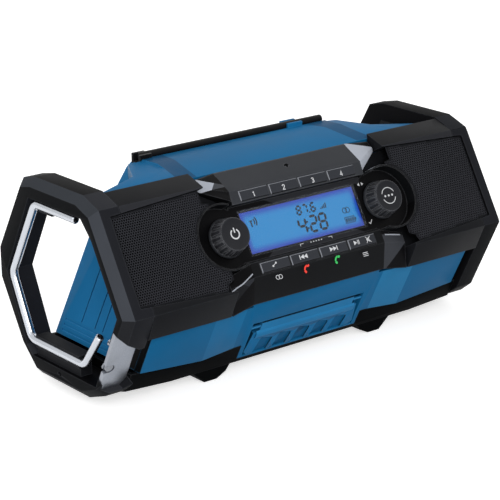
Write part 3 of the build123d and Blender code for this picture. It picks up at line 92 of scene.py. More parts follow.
@dataclass(frozen=True)
class Slope:
    """Sloping plane on the radio's front: x along the radio, u up the slope, w outwards, in mm.

    It passes through y and z, and leans back from the vertical by an angle.
    """

    y: float
    z: float
    lean: float

    def at(self, x: float, u: float, w: float) -> Vector:
        """Point on the slope in metres."""
        s, c = math.sin(self.lean), math.cos(self.lean)
        return Vector((x, self.y + u * s - w * c, self.z + u * c + w * s)) * MM

    def shares(self, y: float, z: float) -> tuple[float, float]:
        """Parts of a direction that run up the slope and outwards."""
        s, c = math.sin(self.lean), math.cos(self.lean)
        return y * s + z * c, z * s - y * c

    def read(self, place: Vector) -> tuple[float, float]:
        """Place up the slope and height above it, in mm, of a point in metres."""
        return self.shares(place.y / MM - self.y, place.z / MM - self.z)

    @property
    def out(self) -> Vector:
        """Direction outwards."""
        return Vector((0, -math.cos(self.lean), math.sin(self.lean)))

    def seat(self, x: float = 0.0, u: float = 0.0, w: float = 0.0) -> Matrix:
        """Matrix from a piece's local metres, with y up the slope and z outwards, to the radio's frame."""
        s, c = math.sin(self.lean), math.cos(self.lean)
        return Matrix.Translation(self.at(x, u, w)) @ Matrix(((1, 0, 0), (0, s, -c), (0, c, s))).to_4x4()


FACE = Slope(-82.0, 83.264, math.radians(30))
FLAP_PANEL = Slope(-68.1, 57.5, math.radians(-27.4))
KNOB_X, KNOB_U = 72.7, 36.8


# ------------------------------------------------------------------ colours and node trees
def linear(code: str, factor: float = 1.0) -> Colour:
    """Linear colour of a display colour.

    Args:
        code: the colour as six hex digits.
        factor: makes it darker or lighter.

    Returns:
        Red, green, blue and an alpha of 1.
    """
    shares = [int(code[i : i + 2], 16) / 255 for i in (0, 2, 4)]
    return (*[(v / 12.92 if v <= 0.04045 else ((v + 0.055) / 1.055) ** 2.4) * factor for v in shares], 1.0)


class Graph:
    """Node tree in the making. Each node gets its settings, values and links in one call."""

    NOISE = (0.25, 0.75)

    def __init__(self, tree: bpy.types.NodeTree) -> None:
        """Works on an existing tree."""
        self.tree = tree

    @classmethod
    def group(cls, kind: str, name: str, inputs: dict[str, float | str], outputs: dict[str, str]) -> "Graph":
        """Starts a node group with its two end nodes.

        Args:
            kind: Shader or Geometry.
            name: the group's name.
            inputs: the default number, or the type of the socket, by label.
            outputs: the type of the socket, by label.

        Returns:
            The graph of the new group.
        """
        tree = bpy.data.node_groups.new(name, f"{kind}NodeTree")
        for label, value in inputs.items():
            word = {float: "Float", int: "Int"}.get(type(value), value)
            socket = tree.interface.new_socket(label, in_out="INPUT", socket_type=f"NodeSocket{word}")
            if word != value:
                socket.default_value = value
        for label, word in outputs.items():
            tree.interface.new_socket(label, in_out="OUTPUT", socket_type=f"NodeSocket{word}")
        tree.nodes.new("NodeGroupInput").name = "in"
        tree.nodes.new("NodeGroupOutput").name = "out"
        return cls(tree)

    def __getitem__(self, label: str) -> Socket:
        """Socket of one of the group's own inputs."""
        return self.tree.nodes["in"].outputs[label]

    def give(self, **results: Socket) -> bpy.types.NodeTree:
        """Connects the group's outputs by label and returns the finished group."""
        self.fill(self.tree.nodes["out"], results)
        return self.tree

    def fill(self, node: bpy.types.Node, inputs: Inputs) -> None:
        """Sets inputs of a node.

        Args:
            node: the node.
            inputs: a value, a socket or a list of sockets, by the input's label or place.
        """
        for key, value in inputs.items():
            for source in value if isinstance(value, list) else [value]:
                if isinstance(source, Socket):
                    self.tree.links.new(source, node.inputs[key])
                else:
                    node.inputs[key].default_value = source

    def add(self, kind: str, inputs: Inputs | None = None, **settings: object) -> Outputs:
        """Adds a node.

        Args:
            kind: the node's type.
            inputs: its inputs, as fill takes them.
            **settings: its own properties, set before the inputs.

        Returns:
            The node's outputs.
        """
        node = self.tree.nodes.new(kind)
        for name, value in settings.items():
            setattr(node, name, value)
        self.fill(node, inputs or {})
        return node.outputs

    def place(self, group: bpy.types.NodeTree, **values: float) -> Outputs:
        """Puts in a shared group with its own values, and returns its outputs; _ stands for a space."""
        inputs = {label.replace("_", " "): value for label, value in values.items()}
        return self.add("ShaderNodeGroup", inputs, node_tree=group)

    def math(self, operation: str, *values: float | Socket) -> Socket:
        """Result of a Math node."""
        return self.add("ShaderNodeMath", dict(enumerate(values)), operation=operation)[0]

    def vector(self, operation: str, first: Socket, second: object) -> Socket:
        """Result of a Vector Math node on two vectors, or on a vector and the factor of SCALE.

        Args:
            operation: the node's operation.
            first: a vector.
            second: a vector or a factor.

        Returns:
            The vector, or the number that DOT_PRODUCT gives.
        """
        inputs = {0: first, "Scale" if operation == "SCALE" else 1: second}
        outputs = self.add("ShaderNodeVectorMath", inputs, operation=operation)
        return outputs["Value" if operation == "DOT_PRODUCT" else "Vector"]

    def mapped(
        self, value: Socket, source: Span = (0, 1), target: Span = (0, 1), **settings: object
    ) -> Socket:
        """Maps a value.

        Args:
            value: the value's socket.
            source: the span that it runs through.
            target: the span that it is mapped to, clamped at both ends.
            **settings: properties of the Map Range node.

        Returns:
            The mapped value's socket.
        """
        ends = {"From Min": source[0], "From Max": source[1], "To Min": target[0], "To Max": target[1]}
        return self.add("ShaderNodeMapRange", {"Value": value, **ends}, **settings)["Result"]

    def drift(self, noise: Socket, low: float, high: float) -> Socket:
        """Spreads the middle half of a noise over low to high."""
        return self.mapped(noise, self.NOISE, (low, high))

    def on_piece(self) -> Socket:
        """Place on the piece, in metres."""
        return self.add("ShaderNodeTexCoord")["Object"]

    def noise(self, scale: float | Socket, detail: float, roughness: float = 0.5) -> Socket:
        """Noise over the piece."""
        inputs = {"Vector": self.on_piece(), "Scale": scale, "Detail": detail, "Roughness": roughness}
        return self.add("ShaderNodeTexNoise", inputs)["Fac"]

    def blend(self, factor: Socket, low: object, high: object) -> Socket:
        """Mix of two colours or colour sockets, with low where the factor is 0."""
        return self.add("ShaderNodeMix", {"Factor": factor, 6: low, 7: high}, data_type="RGBA")[2]

    def bump(self, height: Socket, depth: float) -> Socket:
        """Normal of a bump whose depth is in metres."""
        return self.add("ShaderNodeBump", {"Height": height, "Distance": depth, "Strength": 1.0})["Normal"]


# ------------------------------------------------------------------ finishes
class ShaderKit:
    """Node groups that several finishes share. Each is built once."""

    def __init__(self) -> None:
        """Builds every group."""
        self.grain = self._grain()
        self.wear = self._wear()
        self.dust = self._dust()
        self.brush = self._brush()

    @staticmethod
    def _grain() -> bpy.types.NodeTree:
        """Spark-eroded mould texture: fine pits, and a broad tone that drifts over the part.

        Returns:
            The group.
        """
        sizes = {"Size": 1400.0, "Drift": 18.0}
        g = Graph.group("Shader", "mould_grain", sizes, {"Height": "Float", "Tone": "Float"})
        return g.give(Height=g.noise(g["Size"], 3, 0.6), Tone=g.noise(g["Drift"], 4))

    @staticmethod
    def _wear() -> bpy.types.NodeTree:
        """Handling wear on corners, from the cosine between the rounded and the true normal.

        Returns:
            The group.
        """
        g = Graph.group("Shader", "edge_wear", {"Radius": 1.2 * MM, "Amount": 0.5}, {"Mask": "Float"})
        rounded = g.add("ShaderNodeBevel", {"Radius": g["Radius"]}, samples=4)["Normal"]
        turn = g.vector("DOT_PRODUCT", rounded, g.add("ShaderNodeNewGeometry")["Normal"])
        patchy = g.math("MULTIPLY", g.mapped(turn, (0.995, 0.93)), g.noise(160, 5))
        return g.give(Mask=g.math("MULTIPLY", patchy, g["Amount"]))

    @staticmethod
    def _dust() -> bpy.types.NodeTree:
        """Thin dust that settles on faces turned up.

        Returns:
            The group.
        """
        g = Graph.group("Shader", "settled_dust", {"Amount": 0.1}, {"Mask": "Float"})
        up = g.add("ShaderNodeSeparateXYZ", {0: g.add("ShaderNodeNewGeometry")["Normal"]})["Z"]
        patchy = g.math("MULTIPLY", g.mapped(up, (0.35, 1.0)), g.noise(55, 8))
        return g.give(Mask=g.math("MULTIPLY", patchy, g["Amount"]))

    @staticmethod
    def _brush() -> bpy.types.NodeTree:
        """Fine drawn or ground lines, as a value round 0.5. A small factor stretches them along its axis.

        Returns:
            The group.
        """
        sizes = {f"Along {axis}": 1.0 for axis in "XYZ"}
        g = Graph.group("Shader", "drawn_lines", sizes, {"Value": "Float"})
        factors = g.add("ShaderNodeCombineXYZ", {axis: g[f"Along {axis}"] for axis in "XYZ"})[0]
        inputs = {"Vector": g.vector("MULTIPLY", g.on_piece(), factors), "Scale": 900, "Detail": 3}
        return g.give(Value=g.add("ShaderNodeTexNoise", inputs)["Fac"])


@dataclass(frozen=True)
class Finish:
    """Base of all finishes: a named material with a Principled shader."""

    name: str
    colour: str
    roughness: float = 0.5

    def look(self, graph: Graph, kit: ShaderKit) -> Inputs:
        """Inputs of the Principled shader beyond the plain colour and roughness."""
        return {}

    def build(self, kit: ShaderKit) -> bpy.types.Material:
        """Makes the material.

        Args:
            kit: the shared node groups.

        Returns:
            The material.
        """
        mat = bpy.data.materials.new(self.name)
        mat.use_nodes = True
        mat.diffuse_color = linear(self.colour)
        graph, shader = Graph(mat.node_tree), mat.node_tree.nodes["Principled BSDF"]
        graph.fill(shader, {"Base Color": linear(self.colour), "Roughness": self.roughness})
        graph.fill(shader, self.look(graph, kit))
        return mat


@dataclass(frozen=True)
class Moulded(Finish):
    """Injection-moulded plastic or rubber. With zones its colour comes from zone colours set face by face on
    the piece, which hold painted light and shade.
    """

    grain: float = 1400.0
    depth: float = 0.03 * MM
    wear: float = 0.4
    worn: str = "5a5c60"
    dust: float = 0.06
    drift: float = 0.12
    shine: float = 0.04
    zones: bool = False

    def look(self, graph: Graph, kit: ShaderKit) -> Inputs:
        """Drifting tone, grain bump, worn corners and dust on faces turned up.

        Args:
            graph: the material's nodes.
            kit: the shared node groups.

        Returns:
            The shader's inputs.
        """
        grain = graph.place(kit.grain, Size=self.grain, Drift=16.0)
        low, high = 1 - self.drift, 1 + self.drift
        if self.zones:
            painted = graph.add("ShaderNodeAttribute", attribute_name=ZONE)["Color"]
            tone = graph.vector("SCALE", painted, graph.drift(grain["Tone"], low, high))
        else:
            fade = graph.drift(grain["Tone"], 0, 1)
            tone = graph.blend(fade, linear(self.colour, low), linear(self.colour, high))
        tone = graph.blend(graph.place(kit.wear, Amount=self.wear)["Mask"], tone, linear(self.worn))
        tone = graph.blend(graph.place(kit.dust, Amount=self.dust)["Mask"], tone, linear("a8a49c"))
        return {
            "Base Color": tone,
            "Roughness": graph.drift(grain["Tone"], self.roughness - 0.05, self.roughness + 0.07),
            "Specular IOR Level": self.shine,
            "Normal": graph.bump(grain["Height"], self.depth),
        }


@dataclass(frozen=True)
class Metal(Finish):
    """Bare or plated metal with drawn lines."""

    lines: tuple[float, float, float] = (1.0, 0.03, 1.0)
    spread: float = 0.08
    depth: float = 0.01 * MM
    valley: float = 0.86

    def look(self, graph: Graph, kit: ShaderKit) -> Inputs:
        """Tone and bump that follow the drawn lines, and smudges in the roughness.

        Args:
            graph: the material's nodes.
            kit: the shared node groups.

        Returns:
            The shader's inputs.
        """
        factors = {f"Along_{axis}": value for axis, value in zip("XYZ", self.lines)}
        lines = graph.place(kit.brush, **factors)["Value"]
        smudge = graph.place(kit.grain, Size=500.0, Drift=45.0)["Tone"]
        return {
            "Base Color": graph.blend(
                graph.drift(lines, 0, 1), linear(self.colour, self.valley), linear(self.colour)
            ),
            "Roughness": graph.drift(smudge, self.roughness, self.roughness + self.spread),
            "Metallic": 1.0,
            "Normal": graph.bump(lines, self.depth),
        }


@dataclass(frozen=True)
class Clear(Finish):
    """Clear display lens."""

    def look(self, graph: Graph, kit: ShaderKit) -> Inputs:
        """Clear plastic with faint wipe marks in its roughness.

        Args:
            graph: the material's nodes.
            kit: the shared node groups.

        Returns:
            The shader's inputs.
        """
        wipes = graph.place(kit.grain, Size=300.0, Drift=60.0)["Tone"]
        rough = graph.drift(wipes, 0.0, self.roughness)
        return {"Roughness": rough, "Transmission Weight": 1.0, "IOR": 1.3, "Specular IOR Level": 0.1}


@dataclass(frozen=True)
class Printed(Finish):
    """Pad-printed mark."""

    glow: float = 0.0
    thin: float = 0.85

    def look(self, graph: Graph, kit: ShaderKit) -> Inputs:
        """Ink of slightly uneven thickness; where glow is set, the ink is given a painted glow, with no lamp
        behind it.

        Args:
            graph: the material's nodes.
            kit: the shared node groups.

        Returns:
            The shader's inputs.
        """
        patchy = graph.drift(graph.place(kit.grain, Size=2500.0, Drift=200.0)["Tone"], 0, 1)
        tone = graph.blend(patchy, linear(self.colour, self.thin), linear(self.colour))
        lit = {"Emission Color": tone, "Emission Strength": self.glow} if self.glow else {}
        return {"Base Color": tone, **lit}


@dataclass(frozen=True)
class LitPanel(Finish):
    """Backlit liquid crystal panel: bright field, deeper blue border where the light guide ends.

    Its half sizes, the middle up the face, the depth behind the face and the border are in mm.
    """

    edge: str = "1238aa"
    cell: str = "0a1620"
    half: tuple[float, float] = (53.5, 15.4)
    centre_u: float = 37.05
    sunk: float = 13.2
    border: float = 5.5
    glow: float = 0.75

    def look(self, graph: Graph, kit: ShaderKit) -> Inputs:
        """Emission that falls off towards the four edges of the panel.

        Args:
            graph: the material's nodes.
            kit: the shared node groups; not used.

        Returns:
            The shader's inputs.
        """
        place = graph.add("ShaderNodeSeparateXYZ", {0: graph.on_piece()})
        middle = FACE.at(0, self.centre_u, -self.sunk)
        masks = []
        for axis, centre, half in (
            ("X", middle.x, self.half[0]),
            ("Z", middle.z, self.half[1] * math.cos(FACE.lean)),
        ):
            away = graph.math("ABSOLUTE", graph.math("SUBTRACT", place[axis], centre))
            fall = (half * MM, (half - self.border) * MM)
            masks.append(graph.mapped(away, fall, interpolation_type="SMOOTHSTEP"))
        tone = graph.blend(graph.math("MULTIPLY", *masks), linear(self.edge), linear(self.colour))
        return {"Base Color": linear(self.cell), "Emission Color": tone, "Emission Strength": self.glow}


BLUE = {"worn": "4a92c0", "wear": 0.5, "zones": True}
GUARD = {"grain": 900.0, "depth": 0.05 * MM, "worn": "5a5d62", "dust": 0.0}
HIDDEN = {"wear": 0.0, "dust": 0.0}
FINISHES = {
    finish.name: finish
    for finish in (
        Moulded("blue_zones", "146595", 0.42, dust=0.01, **BLUE),
        Moulded("flap_zones", "146595", 0.42, dust=0.0, **BLUE),
        Moulded("frame_zones", "17181b", 0.46, worn="505358", dust=0.02, zones=True),
        Moulded("shell_black", "17181b", 0.46, worn="505358", dust=0.02),
        Moulded("guard_black", "1a1b1e", 0.5, **GUARD),
        Moulded("guard_zones", "1a1b1e", 0.5, shine=0.02, zones=True, **GUARD),
        Moulded("fascia_zones", "505257", 0.4, worn="8a8d92", wear=0.3, dust=0.02, zones=True),
        # the buttons' pale worn colour on their edges also stands in for highlights, beside real wear
        Moulded("button_zones", "383a3f", 0.42, worn="777a80", wear=0.3, dust=0.0, zones=True),
        Moulded("base_black", "08090a", 0.55, dust=0.0, shine=0.015),
        Moulded("rubber_black", "08090a", 0.7, grain=700.0, depth=0.06 * MM, dust=0.0, shine=0.015),
        # painted highlight: pale strips laid along the fascia flanks' edges
        Moulded("trim_silver", "a9aeb8", 0.35, worn="d0d4da", dust=0.0),
        Moulded("skirt_grey", "2a2c30", 0.4, dust=0.0),
        # the knob's high wear and pale worn colour also paint highlights on the flute edges, beside real wear
        Moulded("knob_black", "27282c", 0.4, worn="8a8c91", wear=0.8),
        Moulded("antenna_black", "141517", 0.3),
        Moulded("grille_black", "2f3035", 0.32, grain=2600.0, shine=0.1, **HIDDEN),
        Moulded("rim_black", "17181b", 0.4, grain=2600.0, **HIDDEN),
        Moulded("cloth_black", "020202", 0.9, grain=2600.0, depth=0.1 * MM, **HIDDEN),
        Moulded("cone_paper", "1a1a1c", 0.8, grain=500.0, depth=0.08 * MM, **HIDDEN),
        Moulded("inner_black", "0b0c0d", 0.8, **HIDDEN),
        Moulded("board_green", "1d5a36", 0.35, **HIDDEN),
        Metal("hook_chrome", "c3c7ce", 0.2, lines=(1.0, 0.05, 0.05), spread=0.1),
        Metal("plate_steel", "999da5", 0.42, lines=(1.0, 1.0, 1.0), spread=0.1, depth=0.004 * MM),
        Metal("screw_steel", "8d9096", 0.35),
        Metal("shaft_steel", "a8abb0", 0.3),
        Metal("contact_brass", "c9a250", 0.3),
        Clear("lens_clear", "f4f8ff", 0.004),
        Printed("ink_white", "d8dadd", 0.5),
        # the red and green inks get a painted glow, with no lamp behind them
        Printed("ink_red", "e8392a", 0.5, glow=0.3),
        Printed("ink_green", "2fb457", 0.5, glow=0.3),
        Printed("lcd_dark", "05080e", 0.6),
        LitPanel("lcd_blue", "0a85c3", 0.4, glow=0.95),
    )
}


# ------------------------------------------------------------------ mesh helpers
def polar(radius: float, degrees: float, centre: Point = (0.0, 0.0)) -> Point:
    """Point on a circle."""
    turn = math.radians(degrees)
    return centre[0] + radius * math.cos(turn), centre[1] + radius * math.sin(turn)


def to_mesh(bm: BMesh, name: str) -> Mesh:
    """Mesh of a bmesh, which is freed.

    Args:
        bm: the bmesh.
        name: the mesh's name.

    Returns:
        The mesh.
    """
    mesh = bpy.data.meshes.new(name)
    bm.to_mesh(mesh)
    bm.free()
    return mesh


def bridge(bm: BMesh, lower: Verts, upper: Verts) -> None:
    """Joins two closed rings with a band of faces.

    Args:
        bm: the mesh that holds them.
        lower: one ring.
        upper: the other, with as many vertices; either may be a single vertex.
    """
    n = max(len(lower), len(upper))
    for i in range(n):
        j = (i + 1) % n
        corners = (lower[i % len(lower)], lower[j % len(lower)], upper[j % len(upper)], upper[i % len(upper)])
        bm.faces.new(list(dict.fromkeys(corners)))


def stack(bm: BMesh, rings: list[Verts]) -> None:
    """Adds a closed solid through a stack of rings, with a lid on each end.

    Args:
        bm: the mesh that holds them.
        rings: the rings, from the bottom to the top.
    """
    for lower, upper in zip(rings, rings[1:]):
        bridge(bm, lower, upper)
    bm.faces.new(rings[0][::-1])
    bm.faces.new(rings[-1])


def prism(bm: BMesh, low: list[Vector], lift: Vector) -> None:
    """Adds a closed prism.

    Args:
        bm: the mesh to add to.
        low: outline of the bottom, anticlockwise seen from the side that lift points to.
        lift: from the bottom to the top.
    """
    stack(bm, [[bm.verts.new(p) for p in low], [bm.verts.new(p + lift) for p in low]])


def lathe(profile: Iterable[Point], steps: int = 96) -> Mesh:
    """Turned solid about the local Z axis.

    Args:
        profile: radius and height in mm, from the axis to the axis or round to the first point.
        steps: faces round the axis.

    Returns:
        The mesh, in local metres.
    """
    bm = bmesh.new()
    rings = []
    for radius, height in profile:
        places = [polar(radius * MM, 360 * i / steps) for i in range(steps if radius else 1)]
        rings.append([bm.verts.new((x, y, height * MM)) for x, y in places])
    for lower, upper in zip(rings, rings[1:]):
        bridge(bm, lower, upper)
    bmesh.ops.remove_doubles(bm, verts=bm.verts, dist=1e-7)
    return to_mesh(bm, "turned")


class Plot:
    """Flat marks on the leaning front: closed areas and strokes a hair thick, in local millimetres."""

    SUNK, PROUD = -0.03, 0.07
    MITRE_LIMIT = 0.55
    ARC_STEP = 12
    DOT_CORNERS = 20

    def __init__(self, x: float, u: float, w: float, size: float = 1.0, slant: float = 0.0) -> None:
        """Starts an empty plot.

        Args:
            x: place of the plot's origin.
            u: place of the origin up the slope.
            w: level of the surface it is printed on.
            size: scale of everything in the plot.
            slant: how far the marks lean to the right per unit of height.
        """
        self.bm = bmesh.new()
        self.x, self.u, self.w, self.size, self.slant = x, u, w, size, slant

    def _ring(self, points: Iterable[Point], level: float) -> Verts:
        """New vertices for local points at a level.

        Args:
            points: the local points.
            level: height above the plot's surface, in mm.

        Returns:
            The vertices.
        """
        ring = []
        for a, b in points:
            x = self.x + (a + self.slant * b) * self.size
            ring.append(self.bm.verts.new(FACE.at(x, self.u + b * self.size, self.w + level)))
        return ring

    def area(self, points: list[Point]) -> None:
        """Adds a filled outline, given in either turning sense.

        Args:
            points: its corners in order.
        """
        turn = sum(p[0] * q[1] - q[0] * p[1] for p, q in zip(points, points[1:] + points[:1]))
        outline = points[::-1] if turn < 0 else points
        stack(self.bm, [self._ring(outline, self.SUNK), self._ring(outline, self.PROUD)])

    def stroke(self, points: list[Point], width: float, closed: bool = False) -> None:
        """Adds a line of constant width with mitred corners.

        Args:
            points: the line's middle.
            width: width of the line.
            closed: joins the last point to the first.
        """
        n = len(points)
        sections = []
        for i, p in enumerate(points):
            before = points[i - 1] if i or closed else None
            after = points[(i + 1) % n] if i < n - 1 or closed else None
            ways = []
            for a, b in ((before, p), (p, after)):
                if a is not None and b is not None:
                    d = Vector((b[0] - a[0], b[1] - a[1])).normalized()
                    ways.append(Vector((-d.y, d.x)))
            mid = sum(ways, Vector((0, 0))).normalized()
            reach = width / 2 / max(mid.dot(ways[0]), self.MITRE_LIMIT)
            left = (p[0] + mid.x * reach, p[1] + mid.y * reach)
            right = (p[0] - mid.x * reach, p[1] - mid.y * reach)
            sections.append(self._ring((left, right), self.SUNK) + self._ring((right, left), self.PROUD))
        if closed:
            for start, end in zip(sections, sections[1:] + sections[:1]):
                bridge(self.bm, start, end)
        else:
            stack(self.bm, sections)

    def arc(self, radius: float, start: float, end: float, width: float, centre: Point = (0, 0)) -> None:
        """Adds a line along an arc.

        Args:
            radius: radius of the line's middle.
            start: angle of its first end, in degrees.
            end: angle of its other end; a full turn makes a ring.
            width: width of the line.
            centre: the arc's centre.
        """
        sweep = end - start
        full = abs(sweep) >= 360
        steps = max(4, round(abs(sweep) / self.ARC_STEP))
        count = steps if full else steps + 1
        self.stroke([polar(radius, start + sweep * i / steps, centre) for i in range(count)], width, full)

    def dot(self, radius: float, a: float = 0.0, b: float = 0.0) -> None:
        """Adds a filled round dot."""
        self.area([polar(radius, 360 / self.DOT_CORNERS * i, (a, b)) for i in range(self.DOT_CORNERS)])

    def box(self, left: float, low: float, right: float, high: float) -> None:
        """Adds a filled rectangle."""
        self.area([(left, low), (right, low), (right, high), (left, high)])

    def arrow(self, tip: float, tail: float, half: float, middle: float = 0.0) -> None:
        """Adds a filled triangle that points along the radio, from tail to tip."""
        self.area([(tip, middle), (tail, middle + half), (tail, middle - half)])

    def twin_rings(self, radius: float, width: float, left: float, right: float, b: float) -> None:
        """Adds two rings side by side."""
        for a in (left, right):
            self.arc(radius, 0, 360, width, (a, b))


# ------------------------------------------------------------------ repeats made with geometry nodes
class Repeats:
    """Geometry node groups that lay out everything that repeats."""

    def __init__(self) -> None:
        """Builds the groups once."""
        self.perforation = self._perforation()
        self.ring = self._ring()

    @staticmethod
    def _start(name: str, inputs: dict[str, float | str]) -> Graph:
        """Empty geometry group with its base geometry, its own inputs and a material.

        Args:
            name: the group's name.
            inputs: its own inputs, as Graph.group takes them.

        Returns:
            Its graph.
        """
        ends = {"Geometry": "Geometry"}
        return Graph.group("Geometry", name, {**ends, **inputs, "Material": "Material"}, ends)

    @staticmethod
    def _copies(g: Graph, piece: str, inputs: Inputs) -> Socket:
        """Copies of the object in an input, laid out on points.

        Args:
            g: the group's graph.
            piece: the input that holds the object.
            inputs: further inputs of the Instance on Points node.

        Returns:
            The copies' socket.
        """
        shape = g.add("GeometryNodeObjectInfo", {"Object": g[piece]})["Geometry"]
        return g.add("GeometryNodeInstanceOnPoints", {"Instance": shape, **inputs})["Instances"]

    @staticmethod
    def _close(g: Graph, instances: Socket) -> bpy.types.NodeTree:
        """Ends a group with Realize Instances and Set Material.

        Args:
            g: the group's graph.
            instances: what it lays out.

        Returns:
            The finished group.
        """
        real = g.add("GeometryNodeRealizeInstances", {"Geometry": instances})["Geometry"]
        painted = g.add("GeometryNodeSetMaterial", {"Geometry": real, "Material": g["Material"]})
        return g.give(Geometry=painted["Geometry"])

    def _perforation(self) -> bpy.types.NodeTree:
        """Tiles on a staggered grid, kept where a whole tile fits inside the flat base outline.

        Returns:
            The group. Its row number is counted from one metre below the outline, so it stays positive.
        """
        sizes = {"Tile": "Object", "Pitch": 1.95 * MM, "Border": 1.2 * MM, "Width": 0.2, "Height": 0.1}
        g = self._start("perforation", sizes)
        row = g.math("MULTIPLY", g["Pitch"], math.sqrt(3) / 2)
        columns = g.math("FLOOR", g.math("DIVIDE", g["Width"], g["Pitch"]))
        rows = g.math("FLOOR", g.math("DIVIDE", g["Height"], row))
        lattice = {
            "Vertices X": columns,
            "Vertices Y": rows,
            "Size X": g.math("MULTIPLY", g.math("SUBTRACT", columns, 1), g["Pitch"]),
            "Size Y": g.math("MULTIPLY", g.math("SUBTRACT", rows, 1), row),
        }
        grid = g.add("GeometryNodeMeshGrid", lattice)["Mesh"]
        box = g.add("GeometryNodeBoundBox", {"Geometry": g["Geometry"]})
        centre = g.vector("SCALE", g.vector("ADD", box["Min"], box["Max"]), 0.5)
        place = g.add("GeometryNodeInputPosition")["Position"]
        rise = g.math("ADD", g.add("ShaderNodeSeparateXYZ", {0: place})["Y"], 1.0)
        odd = g.math("MODULO", g.math("ROUND", g.math("DIVIDE", rise, row)), 2.0)
        slip = g.math("MULTIPLY", g.math("MULTIPLY", odd, 0.5), g["Pitch"])
        shift = g.vector("ADD", g.add("ShaderNodeCombineXYZ", {"X": slip})[0], centre)
        points = g.add("GeometryNodeSetPosition", {"Geometry": grid, "Offset": shift})["Geometry"]
        ray = {
            "Target Geometry": g["Geometry"],
            "Source Position": g.vector("ADD", place, (0, 0, 10 * MM)),
            "Ray Direction": (0, 0, -1),
            "Ray Length": 1.0,
        }
        inside = g.add("GeometryNodeRaycast", ray)["Is Hit"]
        edge = g.add("GeometryNodeProximity", {0: g["Geometry"]}, target_element="EDGES")["Distance"]
        keep = g.math("MULTIPLY", inside, g.math("GREATER_THAN", edge, g["Border"]))
        return self._close(g, self._copies(g, "Tile", {"Points": points, "Selection": keep}))

    def _ring(self) -> bpy.types.NodeTree:
        """Copies of one piece round the Z axis, each turned with its place; the base mesh stays.

        Returns:
            The group.
        """
        g = self._start("round_repeat", {"Piece": "Object", "Count": 22})
        line = g.add("GeometryNodeMeshLine", {"Count": g["Count"], "Offset": (0, 0, 0)})["Mesh"]
        step = g.math("DIVIDE", 2 * math.pi, g["Count"])
        turn = g.math("MULTIPLY", g.add("GeometryNodeInputIndex")["Index"], step)
        round_z = g.add("ShaderNodeCombineXYZ", {"Z": turn})[0]
        copies = self._copies(g, "Piece", {"Points": line, "Rotation": round_z})
        both = g.add("GeometryNodeJoinGeometry", {"Geometry": [copies, g["Geometry"]]})["Geometry"]
        return self._close(g, both)

    @staticmethod
    def run(group: bpy.types.NodeTree, base: Mesh, **inputs: object) -> Mesh:
        """Evaluates a group on a base mesh.

        Args:
            group: one of the groups above.
            base: mesh that goes into Geometry.
            **inputs: values by socket name; a mesh given as Tile or Piece gets a passing object.

        Returns:
            A plain mesh in local coordinates, without materials.
        """
        scene = bpy.context.scene.collection.objects
        holder = bpy.data.objects.new("holder", base)
        passing = [holder]
        mod = holder.modifiers.new("repeat", "NODES")
        mod.node_group = group
        for item in group.interface.items_tree:
            if item.in_out == "INPUT" and item.name in inputs:
                value = inputs[item.name]
                if isinstance(value, Mesh):
                    value = bpy.data.objects.new("repeated", value)
                    passing.append(value)
                mod[item.identifier] = value
        for obj in passing:
            scene.link(obj)
        graph = bpy.context.evaluated_depsgraph_get()
        mesh = bpy.data.meshes.new_from_object(holder.evaluated_get(graph), depsgraph=graph)
        mesh.materials.clear()
        holder.modifiers.clear()
        for obj in passing:
            bpy.data.objects.remove(obj)
        return mesh


